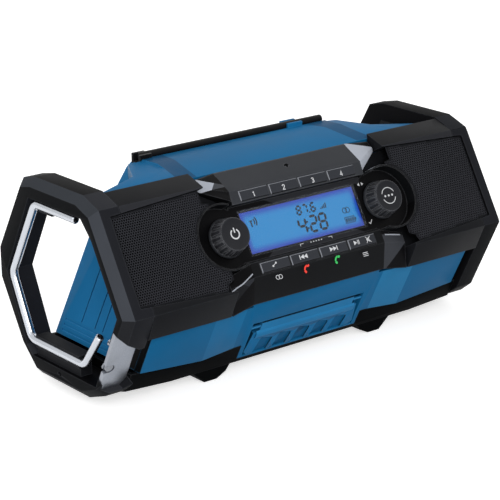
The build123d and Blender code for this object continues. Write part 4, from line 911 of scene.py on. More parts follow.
# ------------------------------------------------------------------ making and dressing pieces
class Shop:
    """Makes meshes, dresses them and hands them to the frame. Lengths are in mm."""

    MERGE = 0.002
    FLAT = math.radians(0.6)
    SHORTEST = 0.4
    SHARP = math.radians(20)
    SHELL_CREASE = math.radians(32)
    TURNED_CREASE = math.radians(34)

    def __init__(self) -> None:
        """Builds the shader and layout groups; materials are made on first use."""
        self.kit = ShaderKit()
        self.repeats = Repeats()
        self._materials: dict[str, bpy.types.Material] = {}
        self.count = 0

    def material(self, name: str) -> bpy.types.Material:
        """Material of a finish, made once.

        Args:
            name: the finish's name.

        Returns:
            The material.
        """
        if name not in self._materials:
            self._materials[name] = FINISHES[name].build(self.kit)
        return self._materials[name]

    def dress(self, node: str, finish: str) -> None:
        """Gives a CAD node a finish.

        Args:
            node: the CAD node.
            finish: name of its finish.
        """
        mesh = frame["nodes"][node].data
        mesh.materials.clear()
        mesh.materials.append(self.material(finish))

    def add(self, name: str, bm: BMesh, finish: str, body: str, *stands_for: str) -> Mesh:
        """Turns a bmesh into a finished piece.

        Args:
            name: the piece's name.
            bm: its mesh, in metres in the radio's frame. It is freed.
            finish: name of its finish.
            body: the body that it rides on.
            stands_for: CAD nodes that it replaces.

        Returns:
            The new piece's mesh.
        """
        mesh = to_mesh(bm, name)
        mesh.materials.append(self.material(finish))
        obj = bpy.data.objects.new(name, mesh)
        bpy.context.scene.collection.objects.link(obj)
        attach(obj, body)
        if stands_for:
            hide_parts(*stands_for)
        self.count += 1
        LOG.info("%s: %d faces", name, len(mesh.polygons))
        return mesh

    def turned_out(self, name: str, bm: BMesh, finish: str, body: str, *stands_for: str) -> Mesh:
        """Adds a piece as add does, after its faces are turned outwards."""
        bmesh.ops.recalc_face_normals(bm, faces=bm.faces)
        return self.add(name, bm, finish, body, *stands_for)

    def merged(self, node: str) -> BMesh:
        """Copy of a CAD node with its triangles joined and its flat faces made whole.

        Args:
            node: the CAD node.

        Returns:
            The copy, to be freed by the caller.
        """
        bm = bmesh.new()
        bm.from_mesh(frame["nodes"][node].data)
        bmesh.ops.remove_doubles(bm, verts=bm.verts, dist=self.MERGE * MM)
        bmesh.ops.dissolve_limit(bm, angle_limit=self.FLAT, verts=bm.verts, edges=bm.edges)
        return bm

    def soften(self, bm: BMesh, radius: float) -> None:
        """Rounds the sharp edges of a mesh.

        Args:
            bm: the mesh.
            radius: width of the rounding in mm.
        """
        edges = [e for e in bm.edges if len(e.link_faces) == 2 and e.calc_length() > self.SHORTEST * MM]
        bmesh.ops.bevel(
            bm,
            geom=[e for e in edges if e.calc_face_angle(0) > self.SHARP],
            offset=radius * MM,
            offset_type="OFFSET",
            segments=2,
            profile=0.5,
            affect="EDGES",
            clamp_overlap=True,
        )

    def rounded(
        self,
        node: str,
        finish: str,
        radius: float,
        zones: Callable[[Vector, Vector], str] | None = None,
        cuts: Cuts = (),
        body: str = "body",
    ) -> None:
        """Replaces a CAD node by a copy with softened edges.

        Args:
            node: the CAD node.
            finish: its finish.
            radius: edge rounding in mm.
            zones: gives a face's colour, painted light and shade included, from its middle and its normal.
            cuts: planes that part the colours, each a point and a normal.
            body: the body that it rides on.
        """
        bm = self.merged(node)
        for point, normal in cuts:
            geom = [*bm.verts, *bm.edges, *bm.faces]
            bmesh.ops.bisect_plane(bm, geom=geom, dist=1e-6, plane_co=point, plane_no=normal)
        self.soften(bm, radius)
        layer = bm.loops.layers.float_color.new(ZONE) if zones else None
        for f in bm.faces:
            f.smooth = True
            if zones:
                tone = linear(zones(f.calc_center_median(), f.normal))
                for loop in f.loops:
                    loop[layer] = tone
        mesh = self.add(f"{node}.shell", bm, finish, body, node)
        mesh.set_sharp_from_angle(angle=self.SHELL_CREASE)

    def seated(self, name: str, mesh: Mesh, seat: Matrix, finish: str, body: str, *stands_for: str) -> None:
        """Adds a mesh made in local metres, and smooths it.

        Args:
            name: the piece's name.
            mesh: the local mesh. It is removed.
            seat: its place.
            finish: name of its finish.
            body: the body that it rides on.
            stands_for: CAD nodes that it replaces.
        """
        bm = bmesh.new()
        bm.from_mesh(mesh)
        bpy.data.meshes.remove(mesh)
        bm.transform(seat)
        for f in bm.faces:
            f.smooth = True
        self.turned_out(name, bm, finish, body, *stands_for).set_sharp_from_angle(angle=self.TURNED_CREASE)


# ------------------------------------------------------------------ the radio's sub-assemblies
class Tone(str, Enum):
    """Colours of the painted zones, by piece and facet. Most beyond the plain base colours are painted light
    and shade.
    """

    # painted shade: the fascia's underside, and its wells and dark corners
    FASCIA_UNDERSIDE = "121315"
    FASCIA_WELL = "0a0a0c"
    FASCIA_BROW = "37393d"
    FASCIA_SURROUND = "292a2e"
    FASCIA_FOOT = "141517"
    # the flanks' facets: one black plastic painted lit and shaded, with a painted reflection on the bright
    # facet
    FLANK_BRIGHT = "aeb3bd"
    FLANK_END = "45474c"
    FLANK_CHIP = "2f3136"
    FLANK_FIELD = "1f2023"
    FLANK_BOTTOM = "0b0b0d"
    FLANK_RIGHT = "3c3e43"
    FLANK_RIGHT_RIM = "0d0d0f"
    FRAME = "17181b"
    # painted light on the frame's top bar and corners
    FRAME_TOP = "2a2b2f"
    FRAME_CORNER = "9a9fa9"
    # the guards' facets: one black plastic painted lit and shaded, the left guard lighter than the right
    GUARD_END = "121315"
    GUARD_TOE = "1b1c1f"
    GUARD_BEVEL = "27282b"
    GUARD_BEVEL_TOP = "393c41"
    GUARD_BEVEL_LEFT = "404349"
    GUARD_BEVEL_RIGHT = "26272a"
    GUARD_TOP = "0b0b0d"
    GUARD_SLOPE_LEFT = "303135"
    GUARD_SLOPE_RIGHT = "25262a"
    GUARD_FRONT = "222327"
    GUARD_UNDERCUT = "151618"
    GUARD_REAR = "17181b"
    GUARD_INSIDE = "0d0d0f"
    BUTTON_CAP = "36383d"
    # painted highlight and painted shadow on the buttons' edges
    BUTTON_EDGE = "8b8e95"
    BUTTON_GAP = "050506"
    # the flap: painted shade in its joint, recesses and scallop walls, painted light on its bar and face
    FLAP_JOINT = "041c2c"
    FLAP_BAR = "2a7cb0"
    FLAP_BAR_EDGE = "104a70"
    FLAP_FIELD = "1a6fa3"
    FLAP_SCALLOP = "0e5a87"
    FLAP_SCALLOP_WALL = "06293f"
    HOUSING = "146595"
    # painted shade: housing walls behind the guards
    HOUSING_HIDDEN = "0b0c0d"
    # end walls, strips, shoulders and lower facets: one blue painted lit and shaded
    HOUSING_END = "2277ae"
    HOUSING_END_TOP = "3f93c8"
    HOUSING_END_SIDE = "0f4f7c"
    HOUSING_STRIP = "0e4c74"
    HOUSING_SHOULDER = "196899"
    HOUSING_LOWER_LEFT = "1d70a2"
    HOUSING_LOWER_RIGHT = "2b7cad"


def above(x: float, u: float, line: Line) -> bool:
    """Whether a place on the face lies above a line whose points run to the right."""
    (x0, u0), (x1, u1) = line
    return (x1 - x0) * (u - u0) > (u1 - u0) * (x - x0)


@dataclass
class Casing:
    """Shells, guards and the flap, with softened edges. Sizes are in mm, counted outwards along X.

    Each tone method gives the colour of a face from its middle, in metres, and its normal; most of these
    colours are painted light and shade, facet by facet. What it compares with a part of the normal is a
    cosine: FULL and HALF say how squarely the face looks that way. The lines part the tones of the fascia's
    flanks, each as two places along X and up the face. Walls of the housing beyond guard_room (x, z) and
    toe_room (x, y, z) are behind the guards and are painted black as shade. The strips across its top flare
    by strip_flare over strip_length, from strip_rear to the front.
    """

    shop: Shop
    brow_from: float = 57.0
    flank_from: float = 62.4
    flank_top: float = 72.6
    function_to: float = 16.4
    upper_left: Line = ((-78.1, 83.0), (-64.3, 75.9))
    upper_left_end: Line = ((-71.5, 74.0), (-68.6, 76.5))
    upper_right: Line = ((67.7, 83.9), (74.4, 81.2))
    lower_left: Line = ((-76.5, -6.6), (-67.6, -0.8))
    lower_left_chip: Line = ((-72.8, 2.6), (-66.2, -0.7))
    lower_right_top: Line = ((65.1, 10.3), (80.6, 7.5))
    lower_right: Line = ((68.6, -10.0), (83.0, 0.8))
    frame_corner: Span = (88.0, 92.5)
    frame_corner_from: float = 62.0
    frame_top_from: float = 70.0
    guard_toe: float = 35.0
    flap_joint: float = -19.3
    flap_joint_depth: float = -2.0
    flap_bar_to: float = -34.0
    scallop_depth: float = -0.5
    housing_front: float = -40.0
    housing_top: float = 140.0
    guard_room: Span = (149.0, 62.0)
    toe_room: tuple[float, float, float] = (125.0, -38.0, 70.0)
    end_from: float = 90.0
    end_below: float = 146.0
    shoulder_from: float = 80.0
    lower_facet: Span = (65.0, 94.0)
    strip_edges: tuple[float, float] = (69.0, 84.0)
    strip_rear: float = 25.0
    strip_length: float = 50.0
    strip_flare: float = 7.0
    strip_inner: float = 72.5
    strip_wide: float = 14.0

    FULL = 0.95
    HALF = 0.5

    def fascia_tone(self, middle: Vector, normal: Vector) -> Tone:
        """Control fascia: flanks in facets painted lit and shaded, painted shade underneath and in the wells,
        a brow over the display and a darker foot.

        Args:
            middle: middle of the face, in metres.
            normal: its normal.

        Returns:
            The face's tone.
        """
        x, u = middle.x / MM, FACE.read(middle)[0]
        out = FACE.shares(normal.y, normal.z)[1]
        if out < 0.1 and normal.z < 0.3:
            return Tone.FASCIA_UNDERSIDE
        if abs(x) > self.flank_from:
            if u > (self.flank_top if x < 0 else self.brow_from + 3):
                return self._upper_flank(x, u)
            if u < self.function_to and out > self.HALF:
                return self._lower_flank(x, u, out)
            return Tone.FASCIA_WELL
        if u > self.brow_from:
            return Tone.FASCIA_BROW
        return Tone.FASCIA_SURROUND if u > self.function_to else Tone.FASCIA_FOOT

    def _upper_flank(self, x: float, u: float) -> Tone:
        """Upper flanks: a painted reflection on one facet and painted light on the left end, under a corner
        in painted shade.

        Args:
            x: place along the radio, in mm.
            u: place up the face, in mm.

        Returns:
            The face's tone.
        """
        if above(x, u, self.upper_left if x < 0 else self.upper_right):
            return Tone.FASCIA_WELL
        if x < 0 and not above(x, u, self.upper_left_end):
            return Tone.FLANK_END
        return Tone.FLANK_BRIGHT

    def _lower_flank(self, x: float, u: float, out: float) -> Tone:
        """Lower flanks in painted light and shade, darker towards the bottom.

        Args:
            x: place along the radio, in mm.
            u: place up the face, in mm.
            out: how squarely it looks outwards, as a cosine.

        Returns:
            The face's tone.
        """
        if x > 0:
            edge = above(x, u, self.lower_right_top) or not above(x, u, self.lower_right)
            return Tone.FLANK_RIGHT_RIM if edge else Tone.FLANK_RIGHT
        if out > self.FULL:
            return Tone.FASCIA_WELL
        if above(x, u, self.lower_left):
            return Tone.FLANK_CHIP if above(x, u, self.lower_left_chip) else Tone.FLANK_FIELD
        return Tone.FLANK_BOTTOM

    def frame_tone(self, middle: Vector, normal: Vector) -> Tone:
        """Front frame, with painted light on its corners beside the fascia's upper flanks and on its top bar.

        Args:
            middle: middle of the face, in metres.
            normal: its normal.

        Returns:
            The face's tone.
        """
        u, out = FACE.read(middle)[0], FACE.shares(normal.y, normal.z)[1]
        start, end = self.frame_corner
        if start < abs(middle.x) / MM < end and u > self.frame_corner_from and 0.2 < out < self.FULL:
            return Tone.FRAME_CORNER
        return Tone.FRAME_TOP if out > self.FULL and u > self.frame_top_from else Tone.FRAME

    def guard_tone(self, middle: Vector, normal: Vector) -> Tone:
        """Guard ring in painted light and shade, facet by facet: bevels lighter than its broad faces, and the
        left guard lighter than the right.

        Args:
            middle: middle of the face, in metres.
            normal: its normal.

        Returns:
            The face's tone.
        """
        left = middle.x <= 0
        out = -normal.x if left else normal.x
        if out > self.FULL:
            return Tone.GUARD_END
        if out > self.HALF:
            if middle.z < self.guard_toe * MM:
                return Tone.GUARD_TOE
            if normal.z > 0.6:
                return Tone.GUARD_BEVEL_TOP
            if normal.z > 0.2 and normal.y < 0:
                return Tone.GUARD_BEVEL_LEFT if left else Tone.GUARD_BEVEL_RIGHT
            return Tone.GUARD_BEVEL
        if normal.z > self.FULL:
            return Tone.GUARD_TOP
        if normal.z > 0.7 and normal.y < -0.1:
            return Tone.GUARD_SLOPE_LEFT if left else Tone.GUARD_SLOPE_RIGHT
        if normal.y < -0.8:
            return Tone.GUARD_FRONT if left or normal.z > 0 else Tone.GUARD_UNDERCUT
        return Tone.GUARD_REAR if normal.y > 0.3 else Tone.GUARD_INSIDE

    @staticmethod
    def button_tone(middle: Vector, normal: Vector) -> Tone:
        """Button: a dark cap with a painted highlight on its edges above and on the left, and a painted
        shadow on its other edges.

        Args:
            middle: middle of the face, in metres; not used.
            normal: its normal.

        Returns:
            The face's tone.
        """
        rise, out = FACE.shares(normal.y, normal.z)
        if out > 0.92:
            return Tone.BUTTON_CAP
        pale = out > 0.1 and (normal.x < -0.25 or rise > 0.25)
        return Tone.BUTTON_EDGE if pale else Tone.BUTTON_GAP

    def flap_tone(self, middle: Vector, normal: Vector) -> Tone:
        """Port flap in painted light and shade: a bar and a face painted lighter, painted shade in the joint
        above the bar and in its recesses, and darker scallops with shaded walls.

        Args:
            middle: middle of the face, in metres.
            normal: its normal.

        Returns:
            The face's tone.
        """
        v, depth = FLAP_PANEL.read(middle)
        square = FLAP_PANEL.shares(normal.y, normal.z)[1]
        if v > self.flap_joint or depth < self.flap_joint_depth:
            return Tone.FLAP_JOINT
        if v > self.flap_bar_to:
            return Tone.FLAP_BAR if square > 0.75 else Tone.FLAP_BAR_EDGE
        if square < 0.85:
            return Tone.FLAP_SCALLOP_WALL
        return Tone.FLAP_SCALLOP if depth < self.scallop_depth else Tone.FLAP_FIELD

    def blue_tone(self, middle: Vector, normal: Vector) -> Tone:
        """Blue housing in painted light and shade: end walls painted lighter, more so on top and darker at
        the sides, strips on the top in painted shade, shoulders and lower facets painted lighter, and walls
        behind the guards painted black as shade.

        Args:
            middle: middle of the face, in metres.
            normal: its normal.

        Returns:
            The face's tone.
        """
        x, y, z = abs(middle.x) / MM, middle.y / MM, middle.z / MM
        guard_x, guard_z = self.guard_room
        toe_x, toe_y, toe_z = self.toe_room
        behind_guard = abs(normal.x) > 0.9 and x > guard_x and z < guard_z
        behind_toe = abs(normal.x) > 0.3 and x > toe_x and y < toe_y and z < toe_z
        if behind_guard or behind_toe:
            return Tone.HOUSING_HIDDEN
        if x > self.end_from and z < self.end_below and y > self.housing_front:
            if abs(normal.x) > 0.8 and normal.z > 0.2:
                return Tone.HOUSING_END
            return Tone.HOUSING_END_TOP if normal.z > 0.6 else Tone.HOUSING_END_SIDE
        if normal.z > 0.7 and z > self.housing_top:
            inner = self.strip_inner + (self.strip_rear - y) * self.strip_flare / self.strip_length
            if inner < x < inner + self.strip_wide:
                return Tone.HOUSING_STRIP
            return Tone.HOUSING_SHOULDER if x > self.shoulder_from else Tone.HOUSING
        start, end = self.lower_facet
        if normal.z < 0 and y < self.housing_front and start < x < end:
            return Tone.HOUSING_LOWER_RIGHT if middle.x > 0 else Tone.HOUSING_LOWER_LEFT
        return Tone.HOUSING

    def _housing_cuts(self) -> Cuts:
        """Planes that part the housing's front, and the edges of the strips across its top.

        Returns:
            A point and a normal for each plane.
        """
        yield Vector((0, self.housing_front, 0)) * MM, Vector((0, 1, 0))
        for side in Side:
            for x in self.strip_edges:
                along = Vector((side.value * self.strip_flare, -self.strip_length, 0))
                point = Vector((side.value * x, self.strip_rear, self.housing_top)) * MM
                yield point, along.cross(Vector((0, 0, 1))).normalized()

    def _seams(self) -> Cuts:
        """Planes square to the face along the lines that part the fascia's tones.

        Returns:
            A point and a normal for each plane.
        """
        for line in (
            ((-90.0, self.flank_top), (90.0, self.flank_top)),
            self.upper_left,
            self.upper_left_end,
            self.upper_right,
            self.lower_left,
            self.lower_left_chip,
            self.lower_right_top,
            self.lower_right,
        ):
            start, end = (FACE.at(x, u, 0) for x, u in line)
            yield start, (end - start).cross(FACE.at(0, 0, 1) - FACE.at(0, 0, 0)).normalized()

    def build(self) -> None:
        """Makes the rounded shells."""
        rounded = self.shop.rounded
        rounded("bottom_cover", "base_black", 0.5)
        rounded("rear_cover", "shell_black", 0.4)
        for side in Side:
            rounded(f"guard_{side.tag}", "guard_zones", 1.0, self.guard_tone)
        rounded("port_flap", "flap_zones", 0.5, self.flap_tone, body="flap")
        rounded("hook_plate", "plate_steel", 0.6)
        for row in ("preset", "function"):
            for i in range(1, 5):
                node = f"{row}_button_{i}"
                rounded(node, "button_zones", 0.6, self.button_tone, body=node)
        rounded("front_frame", "frame_zones", 0.5, self.frame_tone)
        rounded("main_housing", "blue_zones", 0.5, self.blue_tone, self._housing_cuts())
        rounded("control_fascia", "fascia_zones", 0.35, self.fascia_tone, self._seams())
        self._flank_edges()

    def _flank_edges(self) -> None:
        """Painted highlights along the fascia's lower flanks: pale strips laid on their surface."""
        fascia = self.shop.merged("control_fascia")
        tree = BVHTree.FromBMesh(fascia)
        fascia.free()
        lines = {
            Side.LEFT: ((-84.0, -1.0), (-78.0, 0.8), (-72.3, 2.5), (-66.5, 5.4), (-62.5, 7.4)),
            Side.RIGHT: ((65.1, 10.3), (72.3, 9.0), (80.6, 7.5)),
        }
        below, over, sunk, thick = 0.5, 0.4, 0.3, 0.5
        start_above, fallback = 20.0, -8.0
        for side, line in lines.items():
            points = []
            for x, u in line:
                spot = tree.ray_cast(FACE.at(x, u, start_above), -FACE.out)[0]
                points.append((x, u, (FACE.read(spot)[1] if spot else fallback) - sunk))
            bm = bmesh.new()
            for (x0, u0, w0), (x1, u1, w1) in zip(points, points[1:]):
                low = [FACE.at(x0, u0 - below, w0), FACE.at(x1, u1 - below, w1)]
                high = [FACE.at(x1, u1 + over, w1), FACE.at(x0, u0 + over, w0)]
                prism(bm, low + high, FACE.out * thick * MM)
            self.shop.turned_out(f"flank_edge_{side.tag}", bm, "trim_silver", "body")


@dataclass
class Grille:
    """Perforated speaker grille: a sheet with staggered round holes and a plain rim, before a cloth."""

    shop: Shop
    side: Side
    pitch: float = 1.95
    hole: float = 0.78
    margin: float = 0.08
    level: float = -1.5
    thick: float = 1.0
    field: tuple[float, float] = (100.0, 90.0)
    cloth: float = 1.45
    cloth_thick: float = 0.25
    cloth_spread: float = 1.03

    CORNERS = 12

    @property
    def node(self) -> str:
        """Name of the CAD sheet."""
        return f"grille_{self.side.tag}"

    def _tile(self) -> Mesh:
        """Hexagon of the sheet with one round hole: front, the hole's wall and back.

        Returns:
            The tile, in local metres.
        """
        bm = bmesh.new()
        layers = []
        for z in (0.0, -self.thick * MM):
            outer, inner = [], []
            for i in range(self.CORNERS):
                turn = 360 / self.CORNERS * (i + 1)
                reach = self.pitch / (2 if i % 2 else math.sqrt(3))
                outer.append(bm.verts.new((*polar(reach * MM, turn), z)))
                inner.append(bm.verts.new((*polar(self.hole * MM, turn), z)))
            layers.append((outer, inner))
        (front_outer, front_inner), (back_outer, back_inner) = layers
        bridge(bm, front_outer, front_inner)
        bridge(bm, front_inner, back_inner)
        bridge(bm, back_inner, back_outer)
        return to_mesh(bm, "tile")

    def _outline(self) -> list[Vector]:
        """Front outline of the CAD sheet, in the sheet's local metres.

        Returns:
            The outline's corners in order.
        """
        plain = self.shop.merged(self.node)
        fronts = (f for f in plain.faces if f.normal.dot(FACE.out) > 0.99)
        back = FACE.seat(w=self.level).inverted()
        outline = [back @ v.co for v in max(fronts, key=lambda f: f.calc_area()).verts]
        plain.free()
        return outline

    def _tiles(self, outline: list[Vector]) -> Mesh:
        """Perforated part of the sheet, laid out inside the outline.

        Args:
            outline: the sheet's outline.

        Returns:
            The joined tiles, in local metres.
        """
        flat = bmesh.new()
        flat.faces.new([flat.verts.new((p.x, p.y, 0)) for p in outline])
        return Repeats.run(
            self.shop.repeats.perforation,
            to_mesh(flat, "outline"),
            Tile=self._tile(),
            Pitch=self.pitch * MM,
            Border=(self.pitch / math.sqrt(3) + self.margin) * MM,
            Width=self.field[0] * MM,
            Height=self.field[1] * MM,
            Material=self.shop.material("grille_black"),
        )

    def _sheet(self, outline: list[Vector]) -> None:
        """Adds the sheet: the tiles, and a rim from them to the outline.

        Args:
            outline: the sheet's outline.
        """
        tiles = self._tiles(outline)
        bm = bmesh.new()
        bm.from_mesh(tiles)
        bpy.data.meshes.remove(tiles)
        bmesh.ops.remove_doubles(bm, verts=bm.verts, dist=0.02 * MM)
        open_edges = [e for e in bm.edges if e.is_boundary]
        rings = []
        for z, way in ((0.0, 1), (-self.thick * MM, -1)):
            ring = [bm.verts.new((p.x, p.y, z)) for p in outline]
            edges = [bm.edges.new(pair) for pair in zip(ring, ring[1:] + ring[:1])]
            edges += [e for e in open_edges if abs(e.verts[0].co.z - z) < 0.01 * MM]
            made = bmesh.ops.triangle_fill(bm, edges=edges, use_beauty=True, normal=(0, 0, way))
            for item in made["geom"]:
                if isinstance(item, bmesh.types.BMFace):
                    item.material_index = 1
            rings.append(ring)
        bridge(bm, rings[1], rings[0])
        bm.transform(FACE.seat(w=self.level))
        sheet = self.shop.turned_out(f"{self.node}.sheet", bm, "grille_black", "body", self.node)
        sheet.materials.append(self.shop.material("rim_black"))

    def build(self) -> None:
        """Makes the sheet from its CAD outline, and the cloth behind it."""
        outline = self._outline()
        self._sheet(outline)
        cloth = bmesh.new()
        middle = sum(outline, Vector((0, 0, 0))) / len(outline)
        low = [middle + (p - middle) * self.cloth_spread for p in outline]
        prism(cloth, [Vector((p.x, p.y, 0)) for p in low], Vector((0, 0, self.cloth_thick * MM)))
        cloth.transform(FACE.seat(w=self.level - self.cloth))
        self.shop.turned_out(f"{self.node}.cloth", cloth, "cloth_black", "body")


@dataclass
class Knob:
    """Turned knob with raised flutes, a smooth dished face and a skirt ring.

    A profile point is a radius and a height above the face, in mm. A flute's section is its height, its
    inner and outer radius, and half its width at both.
    """

    shop: Shop
    name: str
    x: float
    u: float = KNOB_U
    flutes: int = 18

    FOOT = ((0, -10.2), (13.8, -10.2), (13.8, -8.2), (12.6, -8.0))
    LIP = ((11.5, 1.2), (12.0, 1.3), (12.3, 1.6), (12.3, 2.0), (12.1, 2.4), (11.6, 2.6), (11.0, 2.58))
    DISH = ((10.2, 2.3), (6.0, 2.15), (0, 2.1))
    SKIRT = ((14.5, -10.2), (14.7, -9.9), (14.7, -8.9), (14.4, -8.4))
    SKIRT_BORE = ((13.9, -8.3), (13.9, -10.2))
    FLUTE = (
        (-8.0, 12.2, 13.7, 1.8, 1.5),
        (-6.9, 12.1, 14.0, 1.8, 1.5),
        (0.6, 11.2, 12.5, 1.6, 1.3),
        (1.3, 11.2, 12.1, 1.5, 1.2),
    )

    def _flute(self) -> Mesh:
        """One raised flute at angle 0, tapering with the knob's side, its outer corners broken.

        Returns:
            The flute, in local metres.
        """
        bm = bmesh.new()
        rings = []
        for z, inner, outer, half_in, half_out in self.FLUTE:
            points = [(inner, -half_in), (outer - 0.35, -half_in + 0.06), (outer, -half_out)]
            points += [(x, -y) for x, y in reversed(points)]
            rings.append([bm.verts.new((x * MM, y * MM, z * MM)) for x, y in points])
        stack(bm, rings)
        return to_mesh(bm, "flute")

    def build(self) -> None:
        """Makes the knob and its skirt ring."""
        grip = Repeats.run(
            self.shop.repeats.ring,
            lathe(self.FOOT + self.LIP + self.DISH),
            Piece=self._flute(),
            Count=self.flutes,
            Material=self.shop.material("knob_black"),
        )
        seat = FACE.seat(self.x, self.u)
        self.shop.seated(f"{self.name}.grip", grip, seat, "knob_black", self.name, self.name)
        skirt = lathe(self.SKIRT_BORE[1:] + self.SKIRT + self.SKIRT_BORE)
        self.shop.seated(f"{self.name}.skirt", skirt, seat, "skirt_grey", self.name)


@dataclass
class Marks:
    """Pad-printed marks on the buttons, knobs and fascia.

    Levels are heights above the face in mm, and a row's marks start left of its buttons' middles.
    """

    shop: Shop
    pitch: float = 27.5
    preset_left: float = 1.6
    preset_u: float = 60.5
    preset_level: float = -3.2
    preset_size: float = 2.2
    preset_stroke: float = 0.3
    function_left: float = 1.0
    function_u: float = 9.9
    function_level: float = -6.5
    knob_level: float = 2.16
    lower_level: float = -7.5
    display_level: float = -11.7

    DIGITS = (
        [(0.15, 1.25), (0.5, 1.6), (0.5, 0)],
        [(0, 1.2), (0.12, 1.48), (0.45, 1.6), (0.8, 1.48), (0.9, 1.15), (0.72, 0.8), (0, 0), (0.95, 0)],
        [(0, 1.42), (0.42, 1.6), (0.82, 1.42), (0.8, 1.02), (0.42, 0.86), (0.86, 0.66), (0.88, 0.22)]
        + [(0.42, 0), (0, 0.18)],
        [(0.68, 0), (0.68, 1.6), (0, 0.48), (0.98, 0.48)],
    )

    def build(self) -> None:
        """Makes every mark."""
        middles = [self.pitch * (i - 1.5) for i in range(4)]
        for i, (middle, digit) in enumerate(zip(middles, self.DIGITS), 1):
            plot = Plot(middle - self.preset_left, self.preset_u, self.preset_level, self.preset_size)
            plot.stroke(digit, self.preset_stroke)
            self._print(f"preset_{i}.digit", plot, f"preset_button_{i}")
        signs = (self.link, self.skip_back, self.skip_on, self.play_and_mute)
        for i, (middle, sign) in enumerate(zip(middles, signs), 1):
            plot = Plot(middle - self.function_left, self.function_u, self.function_level)
            sign(plot)
            self._print(f"function_{i}.mark", plot, f"function_button_{i}")
        self._knob_marks()
        self._fascia_marks()

    def _print(self, name: str, plot: Plot, body: str = "body", ink: str = "ink_white") -> None:
        """Adds the marks of a plot."""
        self.shop.turned_out(name, plot.bm, ink, body)

    @staticmethod
    def link(plot: Plot) -> None:
        """Two dots joined by a bar.

        Args:
            plot: where it is drawn.
        """
        ends = [(-1.5, -0.9), (1.5, 0.9)]
        for a, b in ends:
            plot.dot(0.75, a, b)
        plot.stroke(ends, 0.5)

    @staticmethod
    def _skip(plot: Plot, way: int) -> None:
        """Two triangles that point to a bar.

        Args:
            plot: where it is drawn.
            way: 1 for the bar on the right, -1 for the left.
        """
        plot.stroke([(way * 3.9, -1.7), (way * 3.9, 1.7)], 0.7)
        plot.arrow(way * 3.4, way * 0.2, 1.7)
        plot.arrow(way * 0.2, way * -3.0, 1.7)

    def skip_back(self, plot: Plot) -> None:
        """Skip sign to the left."""
        self._skip(plot, -1)

    def skip_on(self, plot: Plot) -> None:
        """Skip sign to the right."""
        self._skip(plot, 1)

    @staticmethod
    def play_and_mute(plot: Plot) -> None:
        """Play triangle with a pause sign, and a crossed-out loudspeaker.

        Args:
            plot: where it is drawn.
        """
        plot.arrow(-4.2, -7.2, 1.7)
        for a in (-3.4, -2.3):
            plot.stroke([(a, -1.7), (a, 1.7)], 0.55)
        plot.area([(5.2, 0.8), (6.4, 0.8), (7.8, 2.1), (7.8, -2.1), (6.4, -0.8), (5.2, -0.8)])
        for b in (2.4, -2.4):
            plot.stroke([(4.6, b), (9.2, -b)], 0.45)

    @staticmethod
    def handset(plot: Plot) -> None:
        """Curved telephone handset with an ear piece and a mouth piece.

        Args:
            plot: where it is drawn.
        """
        plot.arc(4.2, 100, 170, 1.3, (2.6, -2.4))
        plot.area([(1.2, 1.3), (3.5, 2.4), (4.0, 1.4), (3.3, 0.5), (1.9, 0.3)])
        plot.area([(-1.2, -1.7), (0.0, -2.2), (-0.2, -3.6), (-1.4, -4.0), (-2.4, -2.2)])

    def _knob_marks(self) -> None:
        """Power sign on the volume knob; three dots between two arcs on the tuning knob."""
        plot = Plot(-KNOB_X, KNOB_U, self.knob_level)
        plot.arc(3.5, 122, 418, 1.0)
        plot.stroke([(0, 0.9), (0, 4.6)], 1.0)
        self._print("volume_knob.mark", plot, "volume_knob")
        plot = Plot(KNOB_X, KNOB_U, self.knob_level)
        for a in (-3.4, 0.0, 3.4):
            plot.dot(0.85, a)
        for start in (20, 200):
            plot.arc(6.2, start, start + 140, 0.6)
        self._print("tuning_knob.mark", plot, "tuning_knob")

    def _fascia_marks(self) -> None:
        """Handsets in red and green, and plain signs beside the display and under the buttons."""
        for name, x, u, ink in (("end_call", -16.0, 1.6, "ink_red"), ("call", 13.5, 2.2, "ink_green")):
            plot = Plot(x, u, self.lower_level, 0.95)
            self.handset(plot)
            self._print(f"{name}.mark", plot, ink=ink)
        plot = Plot(0, 0, self.lower_level)
        for i in range(3):
            u = 1.25 * i - 1.4
            plot.stroke([(38.6, u), (43.4, u)], 0.5)
        plot.twin_rings(1.5, 0.45, -42.5, -39.9, 0.4)
        self._print("fascia.lower_marks", plot)
        plot = Plot(0, 0, self.display_level)
        for corner, end in ((-10.5, -7.5), (19.5, 16.5)):
            plot.stroke([(corner, 18.3), (corner, 19.8), (end, 19.8)], 0.4)
        for i in range(5):
            plot.dot(0.5, -0.5 + 2.5 * i, 19.4)
        for tip, tail in ((58.6, 60.6), (64.6, 62.6)):
            plot.arrow(tip, tail, 1.4, 52.2)
        plot.stroke([(57.6, 22.6), (58.8, 21.4), (61.0, 24.2)], 0.5)
        self._print("fascia.display_marks", plot)


